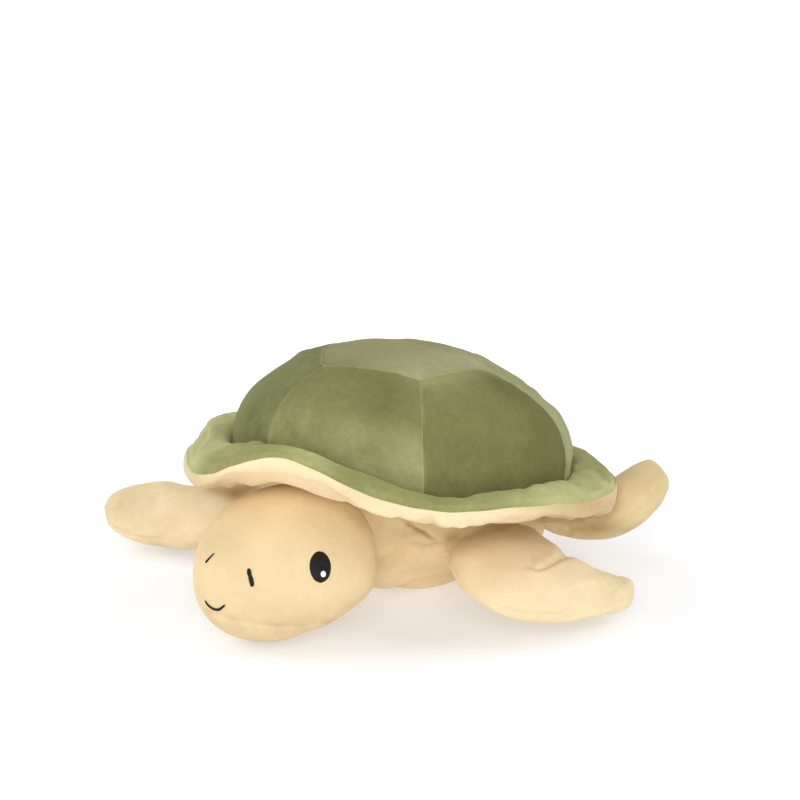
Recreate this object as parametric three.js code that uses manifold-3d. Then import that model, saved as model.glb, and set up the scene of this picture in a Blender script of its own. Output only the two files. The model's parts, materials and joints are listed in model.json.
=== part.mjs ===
// Plush sea turtle: domed six-sided shell with a padded brim, cushion body,
// drooping head with embroidered face, four stuffed flippers.
// Millimetres, +Z up. The turtle faces -Y, its left side is +X. The floor is z = 0.
import * as THREE from 'three';
import { mergeVertices } from 'three/addons/utils/BufferGeometryUtils.js';
import Module from 'manifold-3d';

const wasm = await Module();
wasm.setup();

// ---------- driving dimensions ----------
const FABRIC = 1.5;            // short-pile velour, thickness as sewn
const GAP = 0.35;              // clearance between neighbouring pieces
const SHIFT = [26.8, 6.4, 0];  // brings the middle of the footprint to the origin

// padded brim of the shell: outer seam in plan and its height round the shell
const BRIM_HALF_WIDTH = 123, BRIM_FRONT = 145, BRIM_REAR = 139;
const BRIM_HEIGHT = [[0, 109], [8, 115], [16, 118.5], [24, 114], [34, 104.5], [46, 94.5], [56, 88.5], [66, 85.5], [78, 83],
  [92, 77.5], [108, 69.5], [130, 62], [150, 61], [168, 64], [185, 62], [205, 62], [230, 71], [255, 84], [275, 92],
  [290, 96], [305, 98], [318, 98], [330, 95], [340, 94], [350, 99]];
// how thick the brim hangs below its outer seam and stands above it, and how far its underside sags inwards
const LOW_SHARE = [[10, 0.85], [24, 0.66], [33, 0.66], [43, 0.72], [54, 0.70], [62, 0.78], [74, 0.95], [85, 1.05], [94, 1.30], [105, 1.50],
  [118, 1.50], [135, 1.2], [150, 1.0], [200, 1.0], [300, 1.0], [330, 1.05], [345, 0.95]];
const UP_SHARE = [[0, 0.55], [20, 0.50], [38, 0.55], [50, 0.72], [62, 0.72], [75, 0.66], [95, 0.70], [115, 0.55], [140, 0.45], [165, 0.45], [200, 0.7],
  [240, 0.9], [290, 0.9], [330, 0.65]];
const SAG = [[0, 11.5], [10, 10], [20, 7.5], [32, 3.5], [45, 0.5], [60, 0], [180, 0], [290, 0], [310, 3], [325, 8], [342, 12]];

// dome of the shell
const DOME_HALF_WIDTH = 96, DOME_FRONT = 113, DOME_REAR = 110;
const DOME_HEIGHT = [[0, 115], [10, 115], [20, 111], [33, 104], [41, 98.5], [48, 94], [54, 90], [63, 87], [74, 85],
  [87, 82], [106, 77.5], [132, 70], [160, 67], [180, 67], [200, 69], [230, 76], [260, 86], [285, 93], [310, 98],
  [328, 102], [342, 108], [352, 113]];
const CROWN = [0, -12, 153];
const DOME_P = 2.55, DOME_Q = 2.2;
const SEAMS = [-2, 54, 120, 180, 247, 302];       // where the seams between the side panels meet the dome's foot, degrees
const CORNERS = [[-14, -58], [44.3, -32.9], [51.3, 22.5], [0, 58], [-58, 30], [-51, -15]];   // corners of the top panel, in plan
const DOME_OUTLINE = [[305, 356, 303.1, 350.7], [320, 350, 319.2, 347.2], [335, 347, 334, 342.2], [350, 343, 349.5, 340.1], [365, 340, 365, 339], [395, 338, 395, 339.5], [425, 340, 425, 341],
  [440, 342, 439.7, 343.8], [455, 344, 454.3, 347.4], [470, 349, 469, 351.2], [485, 353, 482.8, 357.3], [500, 358, 496, 364.2], [515, 367, 509.6, 373.5], [530, 379, 525.5, 384],
  [545, 395, 541.8, 398], [559, 419, 560.5, 417.5], [478.9, 369.8, 480, 369.5], [511.3, 383.5, 511.3, 384.5], [538.6, 410.8, 539.5, 410],
  [568, 445, 568, 445], [562.5, 462, 562.5, 462], [350, 352, 350, 352], [400, 352, 400, 352]];
const BRIM_OUTLINE = [[188.3, 433.3, 195.3, 439.4], [181.7, 450, 188, 452], [194.5, 426.4, 199.5, 432.6], [211, 413.9, 212.5, 417.2], [236, 408.3, 236.5, 411.2], [180.6, 458, 183.8, 459],
  [183, 470, 184, 470], [190, 480, 190, 480], [215, 445, 215, 447], [240, 440, 240, 440], [606, 496, 607, 491]];
const SEAM_DIP = 0.5;                             // how far a seam is drawn in

// cushion body
const BODY_HALF_WIDTH = 60, BODY_HALF_LENGTH = 70, BODY_Y = 20, BODY_P = 2.6;
const BODY_PROFILE = [[0, 0.44], [0.03, 0.51], [0.07, 0.60], [0.13, 0.715], [0.22, 0.83], [0.34, 0.935], [0.5, 1.0], [0.72, 0.985], [0.9, 0.945], [1, 0.90]];
const UNDERSIDE_MID = 80;                         // height of the shell's underside at its middle

// head
const HEAD_C = [6, -110, 41.5], HEAD_R = [50, 57, 40], HEAD_TAPER = 0.10;
const HEAD_PITCH = 20, HEAD_ROLL = 2;
const CHIN_SLOPE = 0.55, CHIN_Y = -56, CHIN_Z = 4.4;

// neck
const NECK_C = [4, 57], NECK_R = [30, 24];

// flippers: stations of [leading x y z, trailing x y z, half thickness]
const FRONT_LEFT = [[60.5, -27, 43, 66.5, 36, 43, 5], [75.4, -40.9, 41.7, 70.3, 41.1, 40.7, 9.4], [94.9, -50.9, 35.8, 80.7, 39.4, 35.5, 13.7],
  [117.4, -52.2, 28.7, 93.2, 40, 30.5, 14.9], [135.9, -36.7, 24.1, 103.4, 38.7, 27.7, 14], [144.6, -7.6, 19.3, 112.1, 43.4, 23.2, 12],
  [148.7, 20.4, 17.5, 121, 47.6, 18.5, 10.7], [148.9, 34.2, 17.4, 126.3, 52.8, 16.6, 9.5], [145.9, 43.8, 17.1, 128.7, 56.9, 16.2, 7]];
const FRONT_RIGHT = [[55.5, -36, 43, 66.5, 32, 43, 5], [75.6, -53.4, 38.2, 75.9, 23.8, 41.5, 9.5], [101.2, -61.9, 27.1, 95.8, 11.5, 38.7, 13.1],
  [130.8, -69.5, 17.4, 120, -1.9, 34.8, 14.2], [154.6, -76.5, 14.5, 141.4, -11.2, 32.3, 13.4], [172.7, -81.2, 15.7, 161.2, -21, 31.1, 11.5],
  [186.7, -80.7, 19.2, 179.8, -27, 32.7, 10.5], [196.8, -75.5, 22.9, 192.2, -41.3, 31.6, 9.3], [202.7, -68.3, 26.5, 200.4, -52, 30.1, 6.1]];
const TIPS = [3.8, 0.5, -1.0];                    // how far the rounded tips reach beyond the last station: near front, far front, rear
const REAR_LEFT = [[46.5, 80, 33, 14, 94, 33, 5], [59, 87.1, 31.3, 27.3, 104.9, 31.2, 9.4], [72, 90.8, 32, 38.5, 118.2, 32.6, 12.5],
  [87, 97.2, 35.5, 51.1, 130.6, 37.7, 14.7], [97.7, 106.1, 43.9, 63.3, 138.7, 47.1, 15.6], [103.6, 118, 52.7, 70.9, 146, 55.1, 14.3],
  [102.8, 131.1, 59.1, 76.7, 152, 60.9, 10.8], [98.2, 141, 63, 84.9, 150.8, 64, 4.6]];

// face, in the head's own frame (x left, y back, z up, from the head's middle)
const EYE_AT = [43.1, -8.1, 18.3], EYE_HALF = [6.1, 9.1], EYE_LEAN = -0.5;
const HIGHLIGHT_AT = [44.9, -9.3, 14.8], HIGHLIGHT_HALF = [1.8, 2.1];
const NOSTRILS = { left: [[14.4, -35.6, 26.9], [17.3, -38.3, 23.9], [20.5, -41.1, 19.8]], right: [[-14.6, -39.2, 24.4], [-12.5, -36.8, 26.8], [-10.2, -34, 29.1]] };
const NOSTRIL_WIDTH = { left: 2.6, right: 1.3 };
const MOUTH = [[-7.3, -54.1, 9.7], [-3.2, -55.6, 7.5], [2.2, -55.7, 7.4], [5, -55, 8.7], [7.6, -53.4, 11.2]];
// soft dents and swellings of outlines, from the side they are looked at: [x, y, to x, to y] in a view of 2430 units' reach
const VIEW = { turn: 43, tilt: 15, away: 1500, side: -2.5, rise: 57.5, reach: 2430 };
const HEAD_OUTLINE = [[226, 514.6, 219, 510], [209, 543.5, 201, 543.5], [197.3, 575, 194.3, 575], [204, 611.7, 202, 611], [222, 630, 223, 630], [256, 642, 256, 640],
  [309, 639, 309, 632.5], [340, 622, 342, 619], [366.6, 588, 372, 588], [376, 549, 376, 549], [346, 505, 346, 503], [288, 482, 288, 480], [252, 490, 250, 486.5], [316, 486, 316, 484],
  [290, 560, 290, 560], [330, 590, 330, 590], [240, 570, 240, 570]], OUTLINE_REACH = 16;

// colours
const GREEN = 0x7c7a50, GREEN_LIGHT = 0xa3a272, CREAM = 0xe6cb9f, CREAM_PALE = 0xeed6ab, BLACK = 0x231f1d, WHITE = 0xf2f0ec, FIBRE = 0xf3f1ea, THREAD_TAN = 0xd9bf94;

// ---------- small vector helpers ----------
const add = (a, b, k = 1) => [a[0] + b[0] * k, a[1] + b[1] * k, a[2] + b[2] * k];
const sub = (a, b) => [a[0] - b[0], a[1] - b[1], a[2] - b[2]];
const mul = (a, k) => [a[0] * k, a[1] * k, a[2] * k];
const dot = (a, b) => a[0] * b[0] + a[1] * b[1] + a[2] * b[2];
const cross = (a, b) => [a[1] * b[2] - a[2] * b[1], a[2] * b[0] - a[0] * b[2], a[0] * b[1] - a[1] * b[0]];
const len = (a) => Math.hypot(a[0], a[1], a[2]);
const unit = (a) => mul(a, 1 / Math.max(len(a), 1e-9));
const lerp = (a, b, t) => [a[0] + (b[0] - a[0]) * t, a[1] + (b[1] - a[1]) * t, a[2] + (b[2] - a[2]) * t];
const rad = (d) => d * Math.PI / 180;
const spow = (v, p) => Math.sign(v) * Math.pow(Math.abs(v), p);

// smooth periodic curve through [degrees, value]
function periodic(pts) {
  const n = pts.length;
  return (deg) => {
    const d = ((deg % 360) + 360) % 360;
    let i = n - 1;
    for (let k = 0; k < n; k++) if (pts[k][0] <= d) i = k;
    if (d < pts[0][0]) i = n - 1;
    const P = (k) => { const q = ((k % n) + n) % n, w = Math.floor(k / n); return [pts[q][0] + 360 * w, pts[q][1]]; };
    const a = P(i - 1), b = P(i), c = P(i + 1), e = P(i + 2);
    const x = d < b[0] ? d + 360 : d;
    const t = (x - b[0]) / (c[0] - b[0]);
    const m1 = (c[1] - a[1]) / (c[0] - a[0]) * (c[0] - b[0]), m2 = (e[1] - b[1]) / (e[0] - b[0]) * (c[0] - b[0]);
    const t2 = t * t, t3 = t2 * t;
    return (2 * t3 - 3 * t2 + 1) * b[1] + (t3 - 2 * t2 + t) * m1 + (-2 * t3 + 3 * t2) * c[1] + (t3 - t2) * m2;
  };
}
function catmull(rows, s) {           // rows of numbers, s in 0..1
  const n = rows.length - 1, f = Math.min(Math.max(s, 0), 1) * n, i = Math.min(Math.floor(f), n - 1), t = f - i;
  const g = (k) => rows[Math.min(Math.max(k, 0), n)];
  const a = g(i - 1), b = g(i), c = g(i + 1), d = g(i + 2);
  return b.map((_, k) => 0.5 * (2 * b[k] + (c[k] - a[k]) * t + (2 * a[k] - 5 * b[k] + 4 * c[k] - d[k]) * t * t + (3 * b[k] - a[k] - 3 * c[k] + d[k]) * t * t * t));
}
function linear(pts, x) {
  for (let i = 1; i < pts.length; i++) if (x <= pts[i][0]) {
    const t = (x - pts[i - 1][0]) / (pts[i][0] - pts[i - 1][0]);
    return pts[i - 1][1] + (pts[i][1] - pts[i - 1][1]) * t;
  }
  return pts[pts.length - 1][1];
}

// ---------- mesh builders ----------
function indexed(verts, tris) {
  const g = new THREE.BufferGeometry();
  g.setAttribute('position', new THREE.Float32BufferAttribute(verts.flat(), 3));
  g.setIndex(tris.flat());
  return g;
}
function outward(verts, tris) {       // flips the winding when the volume comes out negative
  let v = 0;
  for (const [a, b, c] of tris) v += dot(verts[a], cross(verts[b], verts[c]));
  if (v < 0) for (const t of tris) { const k = t[1]; t[1] = t[2]; t[2] = k; }
  return indexed(verts, tris);
}
// closed skin between two matching grids: outer[i][j], inner[i][j]
function skin(outer, inner, wrap = false) {
  const n = outer.length, m = outer[0].length, V = [], T = [];
  const O = (i, j) => i * m + (j % m), I = (i, j) => n * m + i * m + (j % m);
  for (const r of outer) for (const p of r) V.push(p);
  for (const r of inner) for (const p of r) V.push(p);
  const q = (a, b, c, d) => T.push([a, b, c], [a, c, d]);
  const mm = wrap ? m : m - 1;
  for (let i = 0; i < n - 1; i++) for (let j = 0; j < mm; j++) {
    q(O(i, j), O(i + 1, j), O(i + 1, j + 1), O(i, j + 1));
    q(I(i, j), I(i, j + 1), I(i + 1, j + 1), I(i + 1, j));
  }
  for (let j = 0; j < mm; j++) {
    q(O(0, j), O(0, j + 1), I(0, j + 1), I(0, j));
    q(O(n - 1, j), I(n - 1, j), I(n - 1, j + 1), O(n - 1, j + 1));
  }
  if (!wrap) for (let i = 0; i < n - 1; i++) {
    q(O(i, 0), I(i, 0), I(i + 1, 0), O(i + 1, 0));
    q(O(i, m - 1), O(i + 1, m - 1), I(i + 1, m - 1), I(i, m - 1));
  }
  return outward(V, T);
}
// closed solid from a stack of closed rings, capped by fans; ends may be a point
function stack(rings, tipA = null, tipB = null) {
  const n = rings.length, m = rings[0].length, V = rings.flat(), T = [];
  const mid = (r) => mul(r.reduce((a, b) => add(a, b), [0, 0, 0]), 1 / m);
  for (let i = 0; i < n - 1; i++) for (let j = 0; j < m; j++) {
    const k = (j + 1) % m;
    T.push([i * m + j, (i + 1) * m + j, (i + 1) * m + k], [i * m + j, (i + 1) * m + k, i * m + k]);
  }
  V.push(tipA ?? mid(rings[0]), tipB ?? mid(rings[n - 1]));
  for (let j = 0; j < m; j++) {
    const k = (j + 1) % m;
    T.push([n * m, j, k], [n * m + 1, (n - 1) * m + k, (n - 1) * m + j]);
  }
  return outward(V, T);
}
function toSolid(g) {
  const c = g.clone(); c.deleteAttribute('normal'); c.deleteAttribute('uv');
  const w = mergeVertices(c, 1e-4);
  return new wasm.Manifold(new wasm.Mesh({ numProp: 3, vertProperties: new Float32Array(w.attributes.position.array), triVerts: new Uint32Array(w.index.array) }));
}
function fromSolid(s) {
  const m = s.getMesh(), V = [], T = [], np = m.numProp;
  for (let i = 0; i < m.vertProperties.length; i += np) V.push([m.vertProperties[i], m.vertProperties[i + 1], m.vertProperties[i + 2]]);
  for (let i = 0; i < m.triVerts.length; i += 3) T.push([m.triVerts[i], m.triVerts[i + 1], m.triVerts[i + 2]]);
  return indexed(V, T);
}

// ---------- shell ----------
const BACK = [Math.sin(rad(VIEW.turn)) * Math.cos(rad(VIEW.tilt)), -Math.cos(rad(VIEW.turn)) * Math.cos(rad(VIEW.tilt)), Math.sin(rad(VIEW.tilt))];
const RIGHT = [Math.cos(rad(VIEW.turn)), Math.sin(rad(VIEW.turn)), 0], RISE = cross(BACK, RIGHT);
const LOOK = add(add(add([0, 0, 60], BACK, VIEW.away), RIGHT, VIEW.side), RISE, VIEW.rise);
function eased(p, pairs = HEAD_OUTLINE, spread = OUTLINE_REACH) {     // a soft outline, pushed in and out a little
  const v = sub(p, LOOK), d = -dot(v, BACK), x = 400 + VIEW.reach * dot(v, RIGHT) / d, y = 400 - VIEW.reach * dot(v, RISE) / d;
  let w = 0, mx = 0, my = 0;
  for (const [a, b, c, e] of pairs) { const g = Math.exp(-((x - a) ** 2 + (y - b) ** 2) / (2 * spread ** 2)); w += g; mx += g * (c - a); my += g * (e - b); }
  const k = Math.min(w, 1) / Math.max(w, 1e-9) * d / VIEW.reach, q = add(add(p, RIGHT, mx * k), RISE, -my * k);
  return [q[0], q[1], Math.max(q[2], 0)];
}
const brimZ = periodic(BRIM_HEIGHT), domeZ = periodic(DOME_HEIGHT), lowShare = periodic(LOW_SHARE), upShare = periodic(UP_SHARE), sag = periodic(SAG);
const smooth = (x) => { const t = Math.min(Math.max(x, 0), 1); return t * t * (3 - 2 * t); };
const planPoint = (deg, k, A, F, R) => {
  const s = Math.sin(rad(deg)), c = -Math.cos(rad(deg));
  return [A * s * k, (c < 0 ? F : R) * c * k];
};
const brimEdge = (deg) => [...planPoint(deg, 1, BRIM_HALF_WIDTH, BRIM_FRONT, BRIM_REAR), brimZ(deg)];
const domeBase = (deg) => [...planPoint(deg, 1, DOME_HALF_WIDTH, DOME_FRONT, DOME_REAR), domeZ(deg)];
// direction and share of the base radius of a point in plan
const POLAR = []; { let last = 0; for (let d = -180; d <= 180.01; d += 0.5) { const p = domeBase(d); let a = Math.atan2(p[0] - CROWN[0], -(p[1] - CROWN[1])); while (POLAR.length && a < last - Math.PI) a += 2 * Math.PI; if (!POLAR.length && a > 3) a -= 2 * Math.PI; POLAR.push([a, d]); last = a; } }
function polar(x, y) {
  const rx = x - CROWN[0], ry = y - CROWN[1];
  let a = Math.atan2(rx, -ry); const a0 = POLAR[0][0];
  a = (((a - a0) % (2 * Math.PI)) + 2 * Math.PI) % (2 * Math.PI) + a0;
  let i = 1; while (i < POLAR.length - 1 && POLAR[i][0] < a) i++;
  const t = (a - POLAR[i - 1][0]) / (POLAR[i][0] - POLAR[i - 1][0]), deg = POLAR[i - 1][1] + (POLAR[i][1] - POLAR[i - 1][1]) * t, b = domeBase(deg);
  return [deg, Math.hypot(rx, ry) / Math.hypot(b[0] - CROWN[0], b[1] - CROWN[1])];
}
// place on side panel i: u from the top panel down to the foot, v from seam to seam
function sideAt(i, u, v) {
  const a = SEAMS[i], b = i < 5 ? SEAMS[i + 1] : SEAMS[0] + 360, P = CORNERS[i], Q = CORNERS[(i + 1) % 6], f = 1 - Math.pow(1 - u, 1.5);
  const top = [P[0] + (Q[0] - P[0]) * v, P[1] + (Q[1] - P[1]) * v], foot = domeBase(a + (b - a) * v);
  if (u >= 1) return [a + (b - a) * v, 1];
  return polar(top[0] + (foot[0] - top[0]) * f, top[1] + (foot[1] - top[1]) * f);
}
// dome surface; inset moves it inwards
function dome(deg, k, inset = 0) {
  const f = (g, kk) => {
    const q = domeBase(g), hh = Math.pow(Math.max(0, 1 - Math.pow(kk, DOME_P)), 1 / DOME_Q);
    return [CROWN[0] + (q[0] - CROWN[0]) * kk, CROWN[1] + (q[1] - CROWN[1]) * kk, q[2] + (CROWN[2] - q[2]) * hh];
  };
  const kc = Math.min(k, 0.985);
  const P = f(deg, k), n = unit(cross(sub(f(deg + 0.5, kc), f(deg - 0.5, kc)), sub(f(deg, kc + 0.01), f(deg, kc - 0.01))));
  return eased(add(P, dot(n, sub(P, [0, 0, 80])) < 0 ? mul(n, -1) : n, -inset), DOME_OUTLINE, 8);
}
// brim section at deg: a runs from the dome's foot (0) to the outer seam (1), b is height above that chord
const BRIM_UP = [[0, 0], [0.14, 3.7], [0.42, 6.4], [0.75, 5.4], [0.93, 2.6], [1, 0]];
const BRIM_LOW = [[0.985, -3.6], [0.9, -8.2], [0.7, -11.3], [0.4, -12], [0.02, -11.1]];
function brimPoint(deg, a, b, inset = 0) {
  const B = domeBase(deg), E = brimEdge(deg);
  const h = b >= 0 ? b * upShare(deg) : b * (1 + (lowShare(deg) - 1) * smooth((a - 0.15) / 0.6)) - sag(deg) * (1 - smooth((a - 0.02) / 0.8));
  const P = [B[0] + (E[0] - B[0]) * a, B[1] + (E[1] - B[1]) * a, B[2] + (E[2] - B[2]) * a + h];
  const mid = (6.5 * upShare(deg) - 12 * lowShare(deg)) / 2 - sag(deg) * 0.22;
  const C = [B[0] + (E[0] - B[0]) * 0.5, B[1] + (E[1] - B[1]) * 0.5, B[2] + (E[2] - B[2]) * 0.5 + mid];
  const d = sub(C, P), L = len(d);
  return eased(add(P, d, inset / L), BRIM_OUTLINE, 8.5);
}
// underside of the shell inside the brim
function planPolar(x, y) {
  const f = (B) => { const s = x / DOME_HALF_WIDTH, c = y / B; return [Math.atan2(s, -c) * 180 / Math.PI, Math.hypot(s, c)]; };
  return f(y < 0 ? DOME_FRONT : DOME_REAR);
}
function under(x, y) {
  const [deg, k] = planPolar(x, y);
  return UNDERSIDE_MID + (domeZ(deg) + BRIM_LOW[4][1] - sag(deg) - UNDERSIDE_MID) * Math.pow(Math.min(k, 1), 1.25);
}

// body outline in plan at share f
function bodyPlan(phi, f, grow = 0) {
  const c = Math.cos(phi), s = Math.sin(phi);
  return [(BODY_HALF_WIDTH * f + grow) * spow(c, 2 / BODY_P), BODY_Y + (BODY_HALF_LENGTH * f + grow) * spow(s, 2 / BODY_P)];
}
function bodyRing(l, n, grow = 0, drop = 0) {
  const f = linear(BODY_PROFILE, l), R = [];
  for (let j = 0; j < n; j++) {
    const phi = 2 * Math.PI * (j + 0.5) / n, p = bodyPlan(phi, f, grow), q = bodyPlan(phi, 0.90, 0);
    R.push([p[0], p[1], l * (under(q[0], q[1]) - 0.9) + drop]);
  }
  return R;
}
// share of the dome radius where the direction deg leaves the body's top outline
function bodyReach(deg) {
  let lo = 0.1, hi = 1.2;
  for (let i = 0; i < 40; i++) {
    const k = (lo + hi) / 2, p = planPoint(deg, k, DOME_HALF_WIDTH, DOME_FRONT, DOME_REAR);
    const a = BODY_HALF_WIDTH * 0.90 + 0.6, b = BODY_HALF_LENGTH * 0.90 + 0.6;
    const v = Math.pow(Math.abs(p[0] / a), BODY_P) + Math.pow(Math.abs((p[1] - BODY_Y) / b), BODY_P);
    if (v < 1) lo = k; else hi = k;
  }
  return hi;
}

const parts = [];
function piece(name, geometry, color, roughness = 0.9, metalness = 0) {
  const g = mergeVertices(geometry, 1e-5); g.computeVertexNormals();
  const m = new THREE.Mesh(g, new THREE.MeshStandardMaterial({ color, roughness, metalness }));
  m.name = name; parts.push(m); return m;
}
const steps = (a, b, n) => Array.from({ length: n + 1 }, (_, i) => a + (b - a) * i / n);

const TOP_RINGS = [1, 0.78, 0.45], LEVELS = steps(0, 1, 5);
const SIDE_NAMES = ['front_left', 'mid_left', 'rear_left', 'rear_right', 'mid_right', 'front_right'];
const EDGE = 0.005;
for (let i = 0; i < 6; i++) {
  const outer = [], inner = [];
  for (const u of LEVELS) {
    const ro = [], ri = [];
    for (const v of steps(0, 1, 6)) {
      const [deg, k] = sideAt(i, u === 0 ? EDGE : u, Math.min(Math.max(v, EDGE), 1 - EDGE)), dip = u < 1 && (u === 0 || v === 0 || v === 1) ? SEAM_DIP : 0;
      ro.push(dome(deg, k, dip)); ri.push(dome(deg, k, dip + FABRIC));
    }
    outer.push(ro); inner.push(ri);
  }
  piece('shell_side_' + SIDE_NAMES[i], skin(outer, inner), GREEN);
}
// directions through the top panel's edge, six to a side
const EDGES = []; for (let i = 0; i < 6; i++) for (let j = 0; j < 6; j++) EDGES.push(sideAt(i, 0, j / 6));
{ // top panel, a cap over the crown
  const ring = (q, inset) => [...EDGES].reverse().map(([d, k]) => dome(d, k * 0.993 * q, inset + (q === 1 ? SEAM_DIP : 0)));
  const up = stack([...TOP_RINGS.map((q) => ring(q, 0)).reverse(), ...TOP_RINGS.map((q) => ring(q, FABRIC))],
    [CROWN[0], CROWN[1], CROWN[2]], [CROWN[0], CROWN[1], CROWN[2] - FABRIC]);
  piece('shell_top_panel', up, GREEN);
}
const RING = steps(0, 360, 36).slice(0, 36);
{ // upper skin of the brim
  const g = [], h = [];
  const prof = [[0.02, 0.7], [0.14, 3.7], [0.42, 6.4], [0.75, 5.4], [0.93, 2.6], [1, 0]];
  for (const [a, b] of prof) { g.push(RING.map((d) => brimPoint(d, a, b))); h.push(RING.map((d) => brimPoint(d, a, b, FABRIC))); }
  piece('brim_upper_skin', skin(g, h, true), GREEN_LIGHT);
}
{ // cream skin under the brim, running in to the body's top seam
  const g = [], h = [];
  const prof = [[0.999, -0.45], ...BRIM_LOW];
  for (const [a, b] of prof) { g.push(RING.map((d) => brimPoint(d, a, b))); h.push(RING.map((d) => add(brimPoint(d, a, b, a > 0.3 ? FABRIC : 0), [0, 0, a > 0.3 ? 0 : FABRIC]))); }
  for (const t of [0.5, 1]) {
    const row = RING.map((d) => { const r = bodyReach(d), k = 1 + (r - 1) * t, p = planPoint(d, k, DOME_HALF_WIDTH, DOME_FRONT, DOME_REAR); return [p[0], p[1], under(p[0], p[1])]; });
    g.push(row); h.push(row.map((p) => add(p, [0, 0, FABRIC])));
  }
  piece('shell_underside', skin(g, h, true), CREAM_PALE);
}
{ // wadding of the brim
  const s = FABRIC + GAP + 0.2, prof = [...BRIM_UP.slice(1), ...BRIM_LOW.slice(0, 4)];
  const rows = prof.map(([a, b]) => RING.map((d) => brimPoint(d, a, b, s)));
  rows.push(RING.map((d) => brimPoint(d, 0.1, BRIM_LOW[4][1] + s + 0.3)));
  const n = rows.length, m = RING.length, V = rows.flat(), T = [];
  for (let i = 0; i < n; i++) for (let j = 0; j < m; j++) {
    const i2 = (i + 1) % n, k = (j + 1) % m;
    T.push([i * m + j, i2 * m + j, i2 * m + k], [i * m + j, i2 * m + k, i * m + k]);
  }
  piece('brim_wadding', outward(V, T), FIBRE);
}
{ // stuffing under the dome
  const s = FABRIC + GAP + 0.5, rings = [], FOOT = [];
  for (let i = 0; i < 6; i++) for (let j = 0; j < 6; j++) FOOT.push(sideAt(i, 1, j / 6)[0]);
  const onSeam = (n) => n % 6 === 0;
  for (const q of [...TOP_RINGS].reverse()) rings.push(EDGES.map(([d, k]) => dome(d, k * 0.993 * q, s + (q === 1 ? SEAM_DIP : 0))));
  for (const u of LEVELS.slice(0, 5)) {
    const R = [];
    for (let i = 0; i < 6; i++) for (let j = 0; j < 6; j++) { const [d, k] = sideAt(i, u === 0 ? EDGE : u, j / 6); R.push(dome(d, k, s + (u === 0 || onSeam(j) ? SEAM_DIP : 0))); }
    rings.push(R);
  }
  const pin = (d, k, z) => { const p = planPoint(d, k, DOME_HALF_WIDTH, DOME_FRONT, DOME_REAR); return [p[0], p[1], z(p[0], p[1], d)]; };
  rings.push(FOOT.map((d) => pin(d, 0.965, (x, y, g) => domeZ(g) - 1)));
  rings.push(FOOT.map((d) => pin(d, 0.965, (x, y) => under(x, y) + s + 0.9)));
  for (const k of [0.7, 0.35]) rings.push(FOOT.map((d) => pin(d, k, (x, y) => under(x, y) + s)));
  piece('shell_stuffing', stack(rings, [CROWN[0], CROWN[1], CROWN[2] - s], [0, 0, UNDERSIDE_MID + s]), FIBRE);
}

// ---------- body ----------
const BODY_N = 32;
{
  const ls = [0.03, 0.07, 0.13, 0.22, 0.34, 0.5, 0.75, 1], g = [], h = [];
  for (const l of ls) {
    g.push(bodyRing(l, BODY_N));
    h.push(bodyRing(l, BODY_N, -FABRIC, l < 0.2 ? FABRIC * (1 - l / 0.2) : 0));
  }
  piece('body_cover', skin(g, h, true), CREAM);
  const flat = (f, z, grow) => Array.from({ length: BODY_N }, (_, j) => { const p = bodyPlan(2 * Math.PI * (j + 0.5) / BODY_N, f, grow); return [p[0], p[1], z]; });
  // bottom panel: flat in the middle, turned up to its seam
  const zr = bodyRing(0.03, BODY_N, -0.35, -0.12), zi = bodyRing(0.03, BODY_N, -FABRIC - 0.4, FABRIC - 0.2);
  piece('belly_panel', stack([flat(0.22, 0, 0), flat(0.44, 0, 0), zr, zi, flat(0.44, FABRIC, -0.6), flat(0.22, FABRIC, 0)], [0, BODY_Y, 0], [0, BODY_Y, FABRIC]), CREAM);
  const s = FABRIC + GAP + 0.2;
  const rings = [flat(0.25, s, 0), flat(0.44, s, -1.5)];
  for (const l of [0.07, 0.13, 0.22, 0.34, 0.5, 0.75]) rings.push(bodyRing(l, BODY_N, -s - 0.2, l < 0.2 ? s * (1 - l / 0.2) + 0.6 : 0));
  rings.push(bodyRing(0.99, BODY_N, -s - 0.2, -0.3));
  const inTop = (f) => Array.from({ length: BODY_N }, (_, j) => { const p = bodyPlan(2 * Math.PI * (j + 0.5) / BODY_N, f); return [p[0], p[1], under(p[0], p[1]) - 1.2]; });
  rings.push(inTop(0.55), inTop(0.25));
  piece('body_stuffing', stack(rings, [0, BODY_Y, s], [0, BODY_Y, under(0, BODY_Y) - 1.2]), FIBRE);
  // hand-sewn closing seam at the back of the body
  const cs = [];
  for (const x of steps(-18, 18, 8)) {
    const f = 0.955, yy = BODY_Y + BODY_HALF_LENGTH * f * Math.pow(Math.max(0, 1 - Math.pow(Math.abs(x) / (BODY_HALF_WIDTH * f), BODY_P)), 1 / BODY_P);
    const z = 20 + (x % 9 === 0 ? 0 : (Math.round((x + 18) / 4.5) % 2 ? 0.8 : -0.8));
    cs.push([[x, yy + 0.5, z - 0.9], [x, yy + 1.3, z - 0.9], [x, yy + 1.3, z + 0.9], [x, yy + 0.5, z + 0.9]]);
  }
  piece('closing_stitches', stack(cs), THREAD_TAN);
}

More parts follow.
